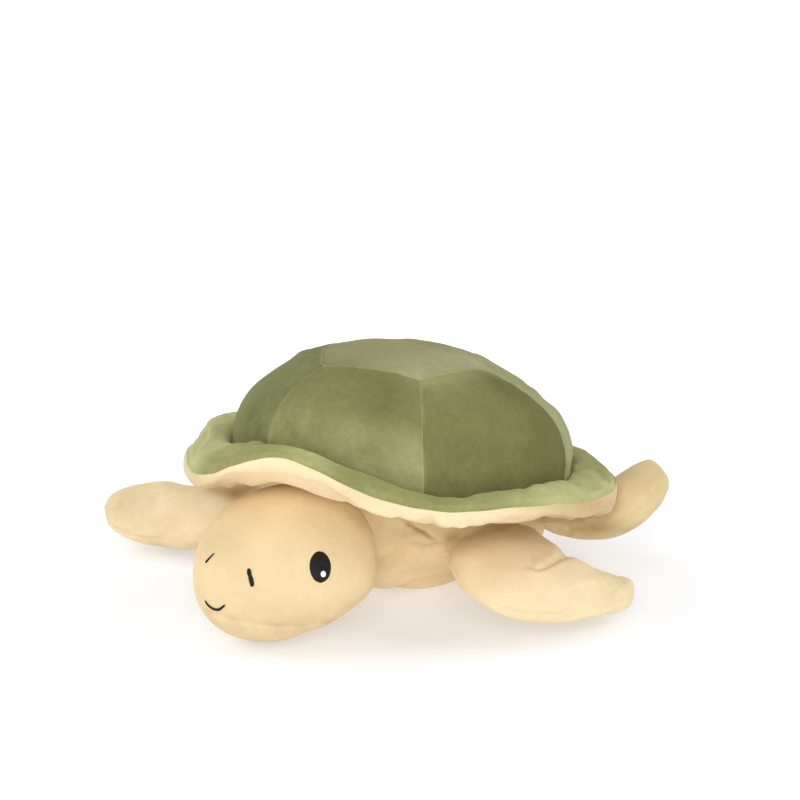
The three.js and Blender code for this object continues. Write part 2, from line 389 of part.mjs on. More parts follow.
// ---------- head ----------
const headM = new THREE.Matrix4().makeRotationX(rad(HEAD_PITCH)).multiply(new THREE.Matrix4().makeRotationY(rad(HEAD_ROLL)));
const headOut = (p) => { const v = new THREE.Vector3(...p).applyMatrix4(headM); return eased([v.x + HEAD_C[0], v.y + HEAD_C[1], v.z + HEAD_C[2]]); };
function egg(grow, nw = 12, nm = 24) {
  const rings = [];
  for (let i = 1; i < nw; i++) {
    const t = Math.PI * i / nw, w = Math.cos(t), r = Math.sin(t), f = 1 - HEAD_TAPER * w, R = [];
    for (let j = 0; j < nm; j++) {
      const q = 2 * Math.PI * j / nm;
      R.push([(HEAD_R[0] * f + grow) * r * Math.cos(q), -(HEAD_R[1] + grow) * w, (HEAD_R[2] * f + grow) * r * Math.sin(q)]);
    }
    rings.push(R);
  }
  return stack(rings, [0, -(HEAD_R[1] + grow), 0], [0, HEAD_R[1] + grow, 0]);
}
function moved(g, f) {
  const p = g.attributes.position, c = g.clone(), a = c.attributes.position;
  for (let i = 0; i < p.count; i++) { const v = f([p.getX(i), p.getY(i), p.getZ(i)]); a.setXYZ(i, v[0], v[1], v[2]); }
  return c;
}
{
  const hull = toSolid(egg(0)).subtract(toSolid(egg(-FABRIC)));
  const n = unit([0, CHIN_SLOPE, 1]), d = dot(n, [0, CHIN_Y, CHIN_Z]);
  const top = hull.trimByPlane(n, d + 0.17), chin = hull.trimByPlane(mul(n, -1), -(d - 0.17));
  piece('head_cover', moved(fromSolid(top), headOut), CREAM_PALE);
  piece('chin_panel', moved(fromSolid(chin), headOut), CREAM);
  piece('head_stuffing', moved(egg(-FABRIC - GAP), headOut), FIBRE);
}
// point on the head along a direction from its middle, lifted by h
function onHead(p, h) {
  const g = (t) => { const w = -p[1] * t / HEAD_R[1], f = 1 - HEAD_TAPER * w; return (p[0] * t / (HEAD_R[0] * f)) ** 2 + (p[2] * t / (HEAD_R[2] * f)) ** 2 + w * w - 1; };
  let a = 0, b = 3; for (let i = 0; i < 50; i++) { const m = (a + b) / 2; if (g(m) < 0) a = m; else b = m; }
  return add(mul(p, a), unit(p), h);
}
function patch(center, half, lo, hi, lean = 0, n = 18) {
  const u0 = unit(center), side = unit(cross([0, 0, 1], u0)), upv = cross(u0, side);
  const c = Math.cos(lean), s = Math.sin(lean);
  const P = (r, q, h) => {
    const a = half[0] * r * Math.cos(q), b = half[1] * r * Math.sin(q);
    return onHead(add(add(center, side, a * c - b * s), upv, a * s + b * c), h);
  };
  const ring = (r, h) => Array.from({ length: n }, (_, j) => P(r, 2 * Math.PI * j / n, h));
  return stack([ring(0.5, hi), ring(1, hi), ring(1, lo), ring(0.5, lo)], P(0, 0, hi), P(0, 0, lo));
}
function stroke(pts, width, lo, hi) {
  const rows = pts.map((p, i) => {
    const a = pts[Math.max(0, i - 1)], b = pts[Math.min(pts.length - 1, i + 1)];
    const w = mul(unit(cross(unit(p), sub(b, a))), width / 2);
    return [onHead(add(p, w), hi), onHead(add(p, w, -1), hi), onHead(add(p, w, -1), lo), onHead(add(p, w), lo)];
  });
  return stack(rows);
}
const flipX = (p) => [-p[0], p[1], p[2]], farEye = (p) => [-p[0], p[1] + 9.5, p[2] - 3];   // the right eye sits a little further back
for (const [side, f] of [['left', (p) => p], ['right', farEye]]) {
  piece('eye_' + side, moved(patch(f(EYE_AT), EYE_HALF, 0.35, 1.1, side === 'left' ? EYE_LEAN : -EYE_LEAN), headOut), BLACK, 0.45);
  piece('eye_highlight_' + side, moved(patch(f(HIGHLIGHT_AT), HIGHLIGHT_HALF, 1.45, 2.0, side === 'left' ? EYE_LEAN : -EYE_LEAN, 12), headOut), WHITE, 0.5);
  piece('nostril_' + side, moved(stroke(NOSTRILS[side], NOSTRIL_WIDTH[side], 0.35, 1.1), headOut), BLACK, 0.6);
}
piece('mouth_stitch', moved(stroke(MOUTH, 1.6, 0.45, 1.2), headOut), BLACK, 0.6);

// ---------- neck ----------
{
  const tube = (grow) => stack([-92, -76, -62, -54, -48, -42, -36].map((y) => Array.from({ length: 24 }, (_, j) => {
    const q = 2 * Math.PI * j / 24, f = Math.max(0, (y + 62) / 26) ** 2, s = Math.sin(q);
    return [NECK_C[0] + (NECK_R[0] + 10 * f + grow) * Math.cos(q), y, NECK_C[1] + (NECK_R[1] + (s < 0 ? 9 * f : 0) + grow) * s];
  })));
  const headBig = toSolid(moved(egg(0.5), headOut));
  const bodyBig = toSolid(stack([0.03, 0.13, 0.22, 0.34, 0.5, 0.72, 0.9, 1].map((l) => bodyRing(l, BODY_N, 0.5, 0)).concat([bodyRing(1, BODY_N, 0.5, 12)])));
  const cut = (s) => s.subtract(headBig).subtract(bodyBig).trimByPlane([0, 1, 0], -92).trimByPlane([0, -1, 0], 38);
  const bigger = (s) => s.decompose().sort((a, b) => b.volume() - a.volume())[0];
  piece('neck_cover', fromSolid(bigger(cut(toSolid(tube(0)).subtract(toSolid(tube(-FABRIC)))))), CREAM);
  piece('neck_stuffing', fromSolid(bigger(cut(toSolid(tube(-FABRIC - GAP))))), FIBRE);
}

// ---------- flippers ----------
function flipper(name, st, mirror, colour, tip) {
  const N = 8, last = st[st.length - 1], prev = st[st.length - 2];
  const mids = [prev, last].map((v) => lerp(v.slice(0, 3), v.slice(3, 6), 0.5)), t1 = unit(sub(mids[1], mids[0])), reach = len(sub(mids[1], mids[0])) + tip;
  st = st.slice(0, -1);
  const centreAt = (s) => { const v = catmull(st, s); return lerp(v.slice(0, 3), v.slice(3, 6), 0.5); };
  const ringAt = (s, phis, inset) => {
    const v = catmull(st, s), L = v.slice(0, 3), T = v.slice(3, 6), c = lerp(L, T, 0.5), w = mul(sub(L, T), 0.5), W = len(w);
    const t = sub(centreAt(Math.min(1, s + 0.02)), centreAt(Math.max(0, s - 0.02)));
    let n = unit(cross(w, t)); if (n[2] < 0) n = mul(n, -1);
    return phis.map((q) => add(add(c, w, (W - inset) / W * spow(Math.cos(q), 0.92)), n, (v[6] - inset) * spow(Math.sin(q), 0.92)));
  };
  const f = mirror ? (g) => moved(g, flipX) : (g) => g;
  const redo = (g) => { // a mirrored solid is turned inside out again
    if (!mirror) return g;
    const V = [], T = [], p = g.attributes.position, ix = g.index.array;
    for (let i = 0; i < p.count; i++) V.push([p.getX(i), p.getY(i), p.getZ(i)]);
    for (let i = 0; i < ix.length; i += 3) T.push([ix[i], ix[i + 2], ix[i + 1]]);
    return indexed(V, T);
  };
  const ss = steps(0, 1, N), c1 = centreAt(1);
  const round = (ring, a, r) => ring.map((p) => add(add(c1, sub(p, c1), Math.cos(a)), t1, r * Math.sin(a)));   // rounds off the tip
  const half = (a, b, sgn) => {
    const ph = steps(a, b, 6), g = [], h = [];
    for (const s of ss) {
      const lift = [0, 0, sgn * 0.18];
      g.push(ringAt(s, ph, 0).map((p) => add(p, lift))); h.push(ringAt(s, ph, FABRIC).map((p) => add(p, lift)));
    }
    for (const a of [22, 42, 60, 75, 86].map(rad)) {
      const lift = [0, 0, sgn * 0.18];
      g.push(round(ringAt(1, ph, 0), a, reach).map((p) => add(p, lift))); h.push(round(ringAt(1, ph, FABRIC), a, reach - FABRIC).map((p) => add(p, lift)));
    }
    return skin(g, h);
  };
  piece(name + '_top_panel', redo(f(half(0, Math.PI, 1))), colour);
  piece(name + '_bottom_panel', redo(f(half(Math.PI, 2 * Math.PI, -1))), colour);
  const all = steps(0, 2 * Math.PI, 12).slice(0, 12);
  piece(name + '_stuffing', redo(f(stack(steps(0, 1, N).map((s) => ringAt(s === 0 ? 0.012 : s, all, FABRIC + GAP + 0.25))
    .concat([24, 46, 68].map((a) => round(ringAt(1, all, FABRIC + GAP + 0.25), rad(a), reach - FABRIC - GAP - 0.25)))))), FIBRE);
}
flipper('front_flipper_left', FRONT_LEFT, false, CREAM_PALE, TIPS[0]);
flipper('front_flipper_right', FRONT_RIGHT, true, CREAM_PALE, TIPS[1]);
flipper('rear_flipper_left', REAR_LEFT, false, CREAM, TIPS[2]);
flipper('rear_flipper_right', REAR_LEFT, true, CREAM, TIPS[2]);

const turtle = new THREE.Group();
turtle.name = 'plush_turtle';
for (const m of parts) turtle.add(m);
turtle.position.set(...SHIFT);
export default turtle;
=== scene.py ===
import sys
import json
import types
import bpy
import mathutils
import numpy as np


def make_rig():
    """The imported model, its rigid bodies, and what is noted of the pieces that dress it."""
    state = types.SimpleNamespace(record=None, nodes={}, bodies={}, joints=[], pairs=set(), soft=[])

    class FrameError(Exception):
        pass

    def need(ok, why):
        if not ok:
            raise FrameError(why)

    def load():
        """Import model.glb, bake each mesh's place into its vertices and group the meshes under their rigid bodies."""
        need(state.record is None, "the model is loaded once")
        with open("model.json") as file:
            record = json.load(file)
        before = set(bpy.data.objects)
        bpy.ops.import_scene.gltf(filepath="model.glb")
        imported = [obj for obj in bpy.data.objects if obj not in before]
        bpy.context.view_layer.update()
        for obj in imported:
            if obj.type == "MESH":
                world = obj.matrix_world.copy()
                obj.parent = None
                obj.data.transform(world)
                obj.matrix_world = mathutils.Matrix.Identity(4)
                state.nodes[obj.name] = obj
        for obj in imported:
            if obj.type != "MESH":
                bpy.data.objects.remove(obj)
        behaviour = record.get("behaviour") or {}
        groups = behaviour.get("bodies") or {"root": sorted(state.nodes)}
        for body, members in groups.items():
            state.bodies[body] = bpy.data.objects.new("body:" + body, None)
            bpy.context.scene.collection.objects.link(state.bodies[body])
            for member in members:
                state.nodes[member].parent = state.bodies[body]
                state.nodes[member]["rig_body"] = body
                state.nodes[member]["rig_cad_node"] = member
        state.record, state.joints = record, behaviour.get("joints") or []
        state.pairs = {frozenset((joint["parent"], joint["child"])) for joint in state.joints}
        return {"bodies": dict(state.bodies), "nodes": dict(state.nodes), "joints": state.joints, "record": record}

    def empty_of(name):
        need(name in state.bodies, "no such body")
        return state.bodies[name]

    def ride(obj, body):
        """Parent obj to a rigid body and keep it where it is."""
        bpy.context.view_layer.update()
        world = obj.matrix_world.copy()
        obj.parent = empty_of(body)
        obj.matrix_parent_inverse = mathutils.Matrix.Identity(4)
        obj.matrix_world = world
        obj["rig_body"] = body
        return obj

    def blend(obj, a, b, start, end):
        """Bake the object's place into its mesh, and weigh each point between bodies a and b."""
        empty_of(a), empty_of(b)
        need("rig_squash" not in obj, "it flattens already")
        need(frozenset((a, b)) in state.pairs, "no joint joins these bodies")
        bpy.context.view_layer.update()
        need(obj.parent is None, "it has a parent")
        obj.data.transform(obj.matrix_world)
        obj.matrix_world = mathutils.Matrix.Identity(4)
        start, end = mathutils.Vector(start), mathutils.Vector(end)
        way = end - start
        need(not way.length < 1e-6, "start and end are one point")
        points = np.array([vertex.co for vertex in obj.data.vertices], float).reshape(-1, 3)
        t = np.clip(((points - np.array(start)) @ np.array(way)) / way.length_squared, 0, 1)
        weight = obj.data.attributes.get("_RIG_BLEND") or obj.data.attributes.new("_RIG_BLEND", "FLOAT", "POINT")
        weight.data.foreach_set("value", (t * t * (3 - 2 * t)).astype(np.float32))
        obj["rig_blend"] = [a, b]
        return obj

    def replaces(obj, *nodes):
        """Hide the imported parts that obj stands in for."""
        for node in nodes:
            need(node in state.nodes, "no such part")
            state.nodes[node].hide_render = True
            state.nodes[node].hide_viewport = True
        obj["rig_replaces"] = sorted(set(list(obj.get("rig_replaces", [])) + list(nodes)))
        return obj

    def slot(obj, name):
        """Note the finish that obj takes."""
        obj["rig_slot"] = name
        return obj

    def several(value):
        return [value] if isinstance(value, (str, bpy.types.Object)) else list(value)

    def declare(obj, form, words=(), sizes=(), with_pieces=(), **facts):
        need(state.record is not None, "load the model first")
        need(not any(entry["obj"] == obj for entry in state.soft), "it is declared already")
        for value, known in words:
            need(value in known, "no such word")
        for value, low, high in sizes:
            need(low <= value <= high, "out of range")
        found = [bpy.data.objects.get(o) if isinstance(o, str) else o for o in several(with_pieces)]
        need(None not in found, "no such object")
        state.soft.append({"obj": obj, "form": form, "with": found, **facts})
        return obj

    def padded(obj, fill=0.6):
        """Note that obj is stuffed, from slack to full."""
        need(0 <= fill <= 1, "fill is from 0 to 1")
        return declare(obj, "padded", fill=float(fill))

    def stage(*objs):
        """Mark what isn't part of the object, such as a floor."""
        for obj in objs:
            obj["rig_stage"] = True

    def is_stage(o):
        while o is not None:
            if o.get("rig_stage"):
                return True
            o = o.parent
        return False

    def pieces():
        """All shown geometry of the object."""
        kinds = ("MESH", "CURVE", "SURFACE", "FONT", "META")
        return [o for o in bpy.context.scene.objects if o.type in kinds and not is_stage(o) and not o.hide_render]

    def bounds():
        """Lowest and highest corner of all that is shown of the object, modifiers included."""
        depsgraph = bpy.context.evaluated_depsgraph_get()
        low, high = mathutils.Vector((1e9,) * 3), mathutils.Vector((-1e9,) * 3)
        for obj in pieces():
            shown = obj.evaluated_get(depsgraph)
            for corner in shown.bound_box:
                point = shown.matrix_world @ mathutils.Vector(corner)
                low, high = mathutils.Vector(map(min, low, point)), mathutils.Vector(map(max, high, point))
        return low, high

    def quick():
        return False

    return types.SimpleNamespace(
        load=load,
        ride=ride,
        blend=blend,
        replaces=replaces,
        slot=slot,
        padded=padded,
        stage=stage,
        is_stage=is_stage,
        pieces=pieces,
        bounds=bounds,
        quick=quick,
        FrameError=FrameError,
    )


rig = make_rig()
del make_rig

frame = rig.load()

import bpy, json, math
import numpy as np
from mathutils import Matrix, Vector, noise

CAD_BOX = [[float(c) for c in p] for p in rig.bounds()]
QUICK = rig.quick()
SHIFT = np.array([26.8, 6.4, 0.0])      # the same offset as the CAD, millimetres
rad = math.radians

# ------------------------------------------------------------------ shapes shared with the CAD, in millimetres
FABRIC = 1.5
BRIM_A, BRIM_F, BRIM_R = 123.0, 145.0, 139.0
BRIM_H = [(0, 109), (8, 115), (16, 118.5), (24, 114), (34, 104.5), (46, 94.5), (56, 88.5), (66, 85.5), (78, 83), (92, 77.5), (108, 69.5), (130, 62),
          (150, 61), (168, 64), (185, 62), (205, 62), (230, 71), (255, 84), (275, 92), (290, 96), (305, 98), (318, 98), (330, 95), (340, 94), (350, 99)]
DOME_A, DOME_F, DOME_R = 96.0, 113.0, 110.0
DOME_H = [(0, 115), (10, 115), (20, 111), (33, 104), (41, 98.5), (48, 94), (54, 90), (63, 87), (74, 85), (87, 82), (106, 77.5),
          (132, 70), (160, 67), (180, 67), (200, 69), (230, 76), (260, 86), (285, 93), (310, 98), (328, 102), (342, 108), (352, 113)]
CROWN = np.array([0.0, -12.0, 153.0])
DOME_P, DOME_Q = 2.55, 2.2
SEAMS = [-2, 54, 120, 180, 247, 302]                       # where the seams meet the dome's foot
CORNERS = [(-14, -58), (44.3, -32.9), (51.3, 22.5), (0, 58), (-58, 30), (-51, -15)]   # corners of the top panel, in plan
# how thick the brim hangs below its seam, how high it stands above it, and how far its underside sags inwards
LOW_SHARE = [(10, 0.85), (24, 0.66), (33, 0.66), (43, 0.72), (54, 0.70), (62, 0.78), (74, 0.95), (85, 1.05), (94, 1.30), (105, 1.50), (118, 1.50), (135, 1.2),
             (150, 1.0), (200, 1.0), (300, 1.0), (330, 1.05), (345, 0.95)]
UP_SHARE = [(0, 0.55), (20, 0.50), (38, 0.55), (50, 0.72), (62, 0.72), (75, 0.66), (95, 0.70), (115, 0.55), (140, 0.42), (165, 0.42), (200, 0.7), (240, 0.9), (290, 0.9), (330, 0.65)]
SAG = [(0, 11.5), (10, 10), (20, 7.5), (32, 3.5), (45, 0.5), (60, 0), (180, 0), (290, 0), (310, 3), (325, 8), (342, 12)]
BODY_A, BODY_L, BODY_Y, BODY_P = 60.0, 71.5, 18.5, 2.7
BODY_PROFILE = [(0, 0.44), (0.03, 0.51), (0.07, 0.60), (0.13, 0.715), (0.22, 0.83), (0.34, 0.935), (0.5, 1.0), (0.72, 0.985), (0.9, 0.945), (1, 0.90)]
UNDER_MID, UNDER_DROP = 80.0, -11.1
HEAD_C = np.array([6.0, -110.0, 41.5])
HEAD_R = (50.0, 57.0, 40.0)
TAPER, PITCH, ROLL = 0.10, 20.0, 2.0


def periodic(pts):
    x = np.array([p[0] for p in pts], float)
    y = np.array([p[1] for p in pts], float)
    X = np.concatenate([x - 360, x, x + 360])
    Y = np.concatenate([y, y, y])
    m = np.empty_like(Y)
    m[1:-1] = (Y[2:] - Y[:-2]) / (X[2:] - X[:-2])
    m[0], m[-1] = m[1], m[-2]

    def f(d):
        d = np.asarray(d, float) % 360
        i = np.clip(np.searchsorted(X, d, side="right") - 1, 0, len(X) - 2)
        w = X[i + 1] - X[i]
        t = (d - X[i]) / w
        t2, t3 = t * t, t * t * t
        return (2 * t3 - 3 * t2 + 1) * Y[i] + (t3 - 2 * t2 + t) * w * m[i] + (-2 * t3 + 3 * t2) * Y[i + 1] + (t3 - t2) * w * m[i + 1]
    return f


def catmull(rows, s):
    rows = np.asarray(rows, float)
    n = len(rows) - 1
    f = np.clip(np.asarray(s, float), 0, 1) * n
    i = np.minimum(f.astype(int), n - 1)
    t = (f - i)[:, None]
    g = lambda k: rows[np.clip(k, 0, n)]
    a, b, c, d = g(i - 1), g(i), g(i + 1), g(i + 2)
    return 0.5 * (2 * b + (c - a) * t + (2 * a - 5 * b + 4 * c - d) * t * t + (3 * b - a - 3 * c + d) * t ** 3)


brim_z, dome_z = periodic(BRIM_H), periodic(DOME_H)
low_share, up_share, sag = periodic(LOW_SHARE), periodic(UP_SHARE), periodic(SAG)


def plan(deg, k, A, F, R):
    s, c = np.sin(np.radians(deg)), -np.cos(np.radians(deg))
    return np.stack([A * s * k, np.where(c < 0, F, R) * c * k], -1)


def brim_edge(deg):
    return np.concatenate([plan(deg, 1.0, BRIM_A, BRIM_F, BRIM_R), brim_z(deg)[..., None]], -1)


def dome_base(deg):
    return np.concatenate([plan(deg, 1.0, DOME_A, DOME_F, DOME_R), dome_z(deg)[..., None]], -1)


_T = np.arange(-180, 180.01, 0.25)
_B = dome_base(_T)[..., :2] - CROWN[:2]
_A = np.unwrap(np.arctan2(_B[:, 0], -_B[:, 1]))


def polar(p):
    """Direction in degrees and share of the base radius, for points in plan."""
    r = np.asarray(p, float) - CROWN[:2]
    a = (np.arctan2(r[..., 0], -r[..., 1]) - _A[0]) % (2 * np.pi) + _A[0]
    th = np.interp(a, _A, _T)
    base = dome_base(th)[..., :2] - CROWN[:2]
    return th, np.hypot(r[..., 0], r[..., 1]) / np.hypot(base[..., 0], base[..., 1])


def side_at(i, u, v):
    """Direction and share on side panel i: u from the top panel down to the foot, v from seam to seam."""
    a, b = SEAMS[i], SEAMS[i + 1] if i < 5 else SEAMS[0] + 360
    P, Q = np.array(CORNERS[i], float), np.array(CORNERS[(i + 1) % 6], float)
    u, v = np.asarray(u, float), np.asarray(v, float)
    top = P + (Q - P) * v[..., None]
    return polar(top + (dome_base(a + (b - a) * v)[..., :2] - top) * (1 - (1 - u) ** 1.5)[..., None])


def dome(deg, k):
    b = dome_base(deg)
    k = np.asarray(k, float)
    h = np.maximum(0, 1 - np.abs(k) ** DOME_P) ** (1 / DOME_Q)
    xy = CROWN[:2] + (b[..., :2] - CROWN[:2]) * k[..., None]
    z = b[..., 2] + (CROWN[2] - b[..., 2]) * h
    return np.concatenate([xy, z[..., None]], -1)


def dome_normal(deg, k):
    """Outward normal of the dome; the same on both sides of a seam."""
    kc = np.minimum(k, 0.985)
    m = np.cross(dome(deg + 0.5, kc) - dome(deg - 0.5, kc), dome(deg, kc) - dome(deg, kc - 0.01))
    m /= np.maximum(np.linalg.norm(m, axis=-1, keepdims=True), 1e-9)
    f = np.sum(m * (dome(deg, k) - np.array([0, 0, 80.0])), -1, keepdims=True)
    return np.where(f < 0, -m, m)


def smooth(x):
    x = np.clip(x, 0, 1)
    return x * x * (3 - 2 * x)


def brim_pt(deg, a, b, lower=False):
    B, E = dome_base(deg), brim_edge(deg)
    P = B + (E - B) * np.asarray(a)[..., None]
    if lower:
        w = smooth((np.asarray(a) - 0.15) / 0.6)
        P[..., 2] += b * (1 + (low_share(deg) - 1) * w) - sag(deg) * (1 - smooth((np.asarray(a) - 0.02) / 0.8))
    else:
        P[..., 2] += np.where(b > 0, b * up_share(deg), b)
    return P


def under(x, y):
    x, y = np.asarray(x, float), np.asarray(y, float)
    B = np.where(y < 0, DOME_F, DOME_R)
    s, c = x / DOME_A, y / B
    deg, k = np.degrees(np.arctan2(s, -c)), np.hypot(s, c)
    return UNDER_MID + (dome_z(deg) + UNDER_DROP - sag(deg) - UNDER_MID) * np.minimum(k, 1) ** 1.25


def spow(v, p):
    return np.sign(v) * np.abs(v) ** p


def body_plan(phi, f, grow=0.0):
    c, s = np.cos(phi), np.sin(phi)
    return np.stack([(BODY_A * f + grow) * spow(c, 2 / BODY_P), BODY_Y + (BODY_L * f + grow) * spow(s, 2 / BODY_P)], -1)


def body_reach(deg):
    lo, hi = np.full(np.shape(deg), 0.1), np.full(np.shape(deg), 1.2)
    for _ in range(40):
        k = (lo + hi) / 2
        p = plan(deg, k, DOME_A, DOME_F, DOME_R)
        v = np.abs(p[..., 0] / (BODY_A * 0.9)) ** BODY_P + np.abs((p[..., 1] - BODY_Y) / (BODY_L * 0.9)) ** BODY_P
        lo, hi = np.where(v < 1, k, lo), np.where(v < 1, hi, k)
    return hi


def rot(deg, ax):
    return np.array(Matrix.Rotation(rad(deg), 3, ax))


HEAD_M = rot(PITCH, 'X') @ rot(ROLL, 'Y')
head_out = lambda p: np.asarray(p) @ HEAD_M.T + HEAD_C


# ------------------------------------------------------------------ the photograph's view
_a, _e = rad(43.0), rad(15.0)
BACK = np.array([math.sin(_a) * math.cos(_e), -math.cos(_a) * math.cos(_e), math.sin(_e)])
RIGHT = np.array([math.cos(_a), math.sin(_a), 0.0])
UP = np.cross(BACK, RIGHT)
EYE_POINT = np.array([0, 0, 60.0]) + 1500 * BACK - 2.5 * RIGHT + 57.5 * UP      # before SHIFT


def proj(p):
    v = np.asarray(p, float) - EYE_POINT
    d = -(v @ BACK)
    return np.stack([400 + 2430 * (v @ RIGHT) / d, 400 - 2430 * (v @ UP) / d], -1), d


def ray(x, y):
    d = -BACK + RIGHT * (x - 400) / 2430 + UP * (400 - y) / 2430
    return d / np.linalg.norm(d)


def nudge(P, pairs, reach=15.0, near=None):
    """Eases a fabric outline into place: each pair moves what is seen at its first point to its second, fading with distance."""
    pr_ = np.asarray(pairs, float)
    q_, d = proj(P.reshape(-1, 3))
    D2 = ((q_[:, None] - pr_[None, :, :2]) ** 2).sum(-1)
    w = np.exp(-D2 / (2 * reach ** 2))
    t = w.sum(1, keepdims=True)
    mv = (w @ (pr_[:, 2:] - pr_[:, :2])) / np.maximum(t, 1e-9) * np.clip(t, 0, 1)
    out = P.reshape(-1, 3) + (RIGHT * mv[:, :1] - UP * mv[:, 1:]) * (d / 2430)[:, None]
    return out.reshape(P.shape)


DOME_OUTLINE = [(305, 356, 303.1, 350.7), (320, 350, 319.2, 347.2), (335, 347, 334, 342.2), (350, 343, 349.5, 340.1), (365, 340, 365, 339), (395, 338, 395, 339.5), (425, 340, 425, 341),
                (440, 342, 439.7, 343.8), (455, 344, 454.3, 347.4), (470, 349, 469, 351.2), (485, 353, 482.8, 357.3), (500, 358, 496, 364.2), (515, 367, 509.6, 373.5), (530, 379, 525.5, 384),
                (545, 395, 541.8, 398), (559, 419, 560.5, 417.5), (565, 433, 569, 432), (568, 445, 573, 445), (478.9, 369.8, 480, 369.5), (511.3, 383.5, 511.3, 384.5), (538.6, 410.8, 539.5, 410),
                (555.7, 438.1, 558, 436.5), (562.5, 462, 566, 461.5), (350, 352, 350, 352), (400, 352, 400, 352)]
BRIM_OUTLINE = [(188.3, 433.3, 195.3, 439.4), (181.7, 450, 188, 452), (194.5, 426.4, 199.5, 432.6), (211, 413.9, 212.5, 417.2), (236, 408.3, 236.5, 411.2), (180.6, 458, 183.8, 459), (183, 470, 184, 470),
                (190, 480, 190, 480), (215, 445, 215, 447), (240, 440, 240, 440), (606, 496, 607, 493),
                (586.7, 455, 587.5, 453), (596.7, 463.3, 598.8, 461), (605, 471.7, 607.8, 469), (610, 475.7, 613, 473.5), (590, 475, 590, 475)]
BAND_EDGE = [(200, 489, 200, 488), (222, 490.3, 222, 486.5), (239, 488.5, 239, 484), (340.6, 499.5, 340.6, 501), (360, 504, 360, 509), (374.8, 508, 374.8, 514.5), (388.4, 512.8, 388.4, 519),
             (408.9, 520, 408.9, 524.5), (426, 523.4, 426, 528.3), (443, 525.1, 443, 529.8), (463.5, 524.1, 463.5, 528.8), (477.2, 523.4, 477.2, 526.6), (497.6, 521.4, 497.6, 523.8),
             (511.3, 520.7, 511.3, 522.3), (545.4, 523.4, 545.4, 519.3), (562, 525, 562, 519.2), (579.6, 525.8, 579.6, 518.6), (595, 524, 595, 518.2), (606.9, 521.4, 606.9, 516.5), (612, 512, 610.5, 511.5), (615, 503, 616, 503.5), (616.7, 494.5, 618, 494.5)] + [
             (x, y, x, y) for x, y in ((346, 485), (366, 493), (386, 500), (406, 505), (426, 509), (446, 511), (466, 511), (486, 509), (506, 507), (546, 504), (576, 502), (596, 499))]
CREST = [(440, 491.5, 440, 495), (452, 492.3, 452, 496), (464.8, 491.8, 464.8, 497), (477.5, 491, 477.5, 491.5), (495, 490, 495, 489), (517, 489, 517, 488.4), (535, 486.5, 535, 481.5), (548, 484.5, 548, 481.5),
         (560, 482.2, 560, 480.6), (450, 505, 450, 505), (500, 502, 500, 502), (550, 498, 550, 498)]


# ------------------------------------------------------------------ mesh tools
def nz(P, scale, seed=0.0):
    """Smooth noise in -1..1 at each point; scale is the feature size in millimetres."""
    Q = (np.asarray(P).reshape(-1, 3) / scale + seed * 17.31).tolist()
    return np.array([noise.noise(Vector(q)) for q in Q]).reshape(np.shape(P)[:-1]) * 1.6


def grid_normals(G, wrap_v=False, wrap_u=False):
    gu = np.gradient(G, axis=0) if not wrap_u else (np.roll(G, -1, 0) - np.roll(G, 1, 0))
    gv = (np.roll(G, -1, 1) - np.roll(G, 1, 1)) if wrap_v else np.gradient(G, axis=1)
    n = np.cross(gu, gv)
    return n / np.maximum(np.linalg.norm(n, axis=-1, keepdims=True), 1e-9)


def out_normals(G, centre, wrap_v=False):
    n = grid_normals(G, wrap_v)
    s = np.sign(np.sum(n * (G - centre), -1).mean())
    return n * (s if s else 1)


def arc(G, axis):
    d = np.linalg.norm(np.diff(G, axis=axis), axis=-1)
    c = np.cumsum(d, axis=axis)
    z = np.zeros_like(np.take(c, [0], axis=axis))
    return np.concatenate([z, c], axis=axis)


def make(name, G, wrap_v=False, wrap_u=False, cap0=None, cap1=None, out_from=None):
    """Mesh from a grid of points in millimetres; caps close an end with a point."""
    n, m = G.shape[:2]
    V = list(map(tuple, (G.reshape(-1, 3) + SHIFT) * 0.001))
    F = []
    for i in range(n if wrap_u else n - 1):
        for j in range(m if wrap_v else m - 1):
            i2, j2 = (i + 1) % n, (j + 1) % m
            F.append((i * m + j, i2 * m + j, i2 * m + j2, i * m + j2))
    for cap, row in ((cap0, 0), (cap1, n - 1)):
        if cap is not None:
            V.append(tuple((np.asarray(cap, float) + SHIFT) * 0.001))
            k = len(V) - 1
            for j in range(m if wrap_v else m - 1):
                a, b = row * m + j, row * m + (j + 1) % m
                F.append((k, a, b) if row == 0 else (k, b, a))
    me = bpy.data.meshes.new(name)
    me.from_pydata(V, [], F)
    me.update()
    if out_from is not None:
        c = (np.asarray(out_from, float) + SHIFT) * 0.001
        co = np.array([p.center for p in me.polygons]) - c
        no = np.array([p.normal for p in me.polygons])
        if (co * no).sum() < 0:
            me.flip_normals()
    for p in me.polygons:
        p.use_smooth = True
    ob = bpy.data.objects.new(name, me)
    bpy.context.scene.collection.objects.link(ob)
    return ob


def paint(ob, tone=None, line=None):
    """Vertex attributes: how much lighter or darker each vertex is, the pile's random tone together with painted light
    and shade, and where a seam shows its light thread or the pile has a painted sheen.
    """
    for key, val in (("tone", tone), ("line", line)):
        if val is not None:
            at = ob.data.attributes.new(key, "FLOAT", "POINT")
            v = np.zeros(len(ob.data.vertices))
            val = np.asarray(val, float).ravel()
            v[:len(val)] = val
            at.data.foreach_set("value", v)


def co_of(ob):
    v = np.empty(len(ob.data.vertices) * 3)
    ob.data.vertices.foreach_get("co", v)
    return v.reshape(-1, 3)


def set_co(ob, v):
    ob.data.vertices.foreach_set("co", np.asarray(v, float).ravel())
    ob.data.update()


def subdivide(ob, level=1):
    m = ob.modifiers.new("round", "SUBSURF")
    m.levels = m.render_levels = level
    return ob


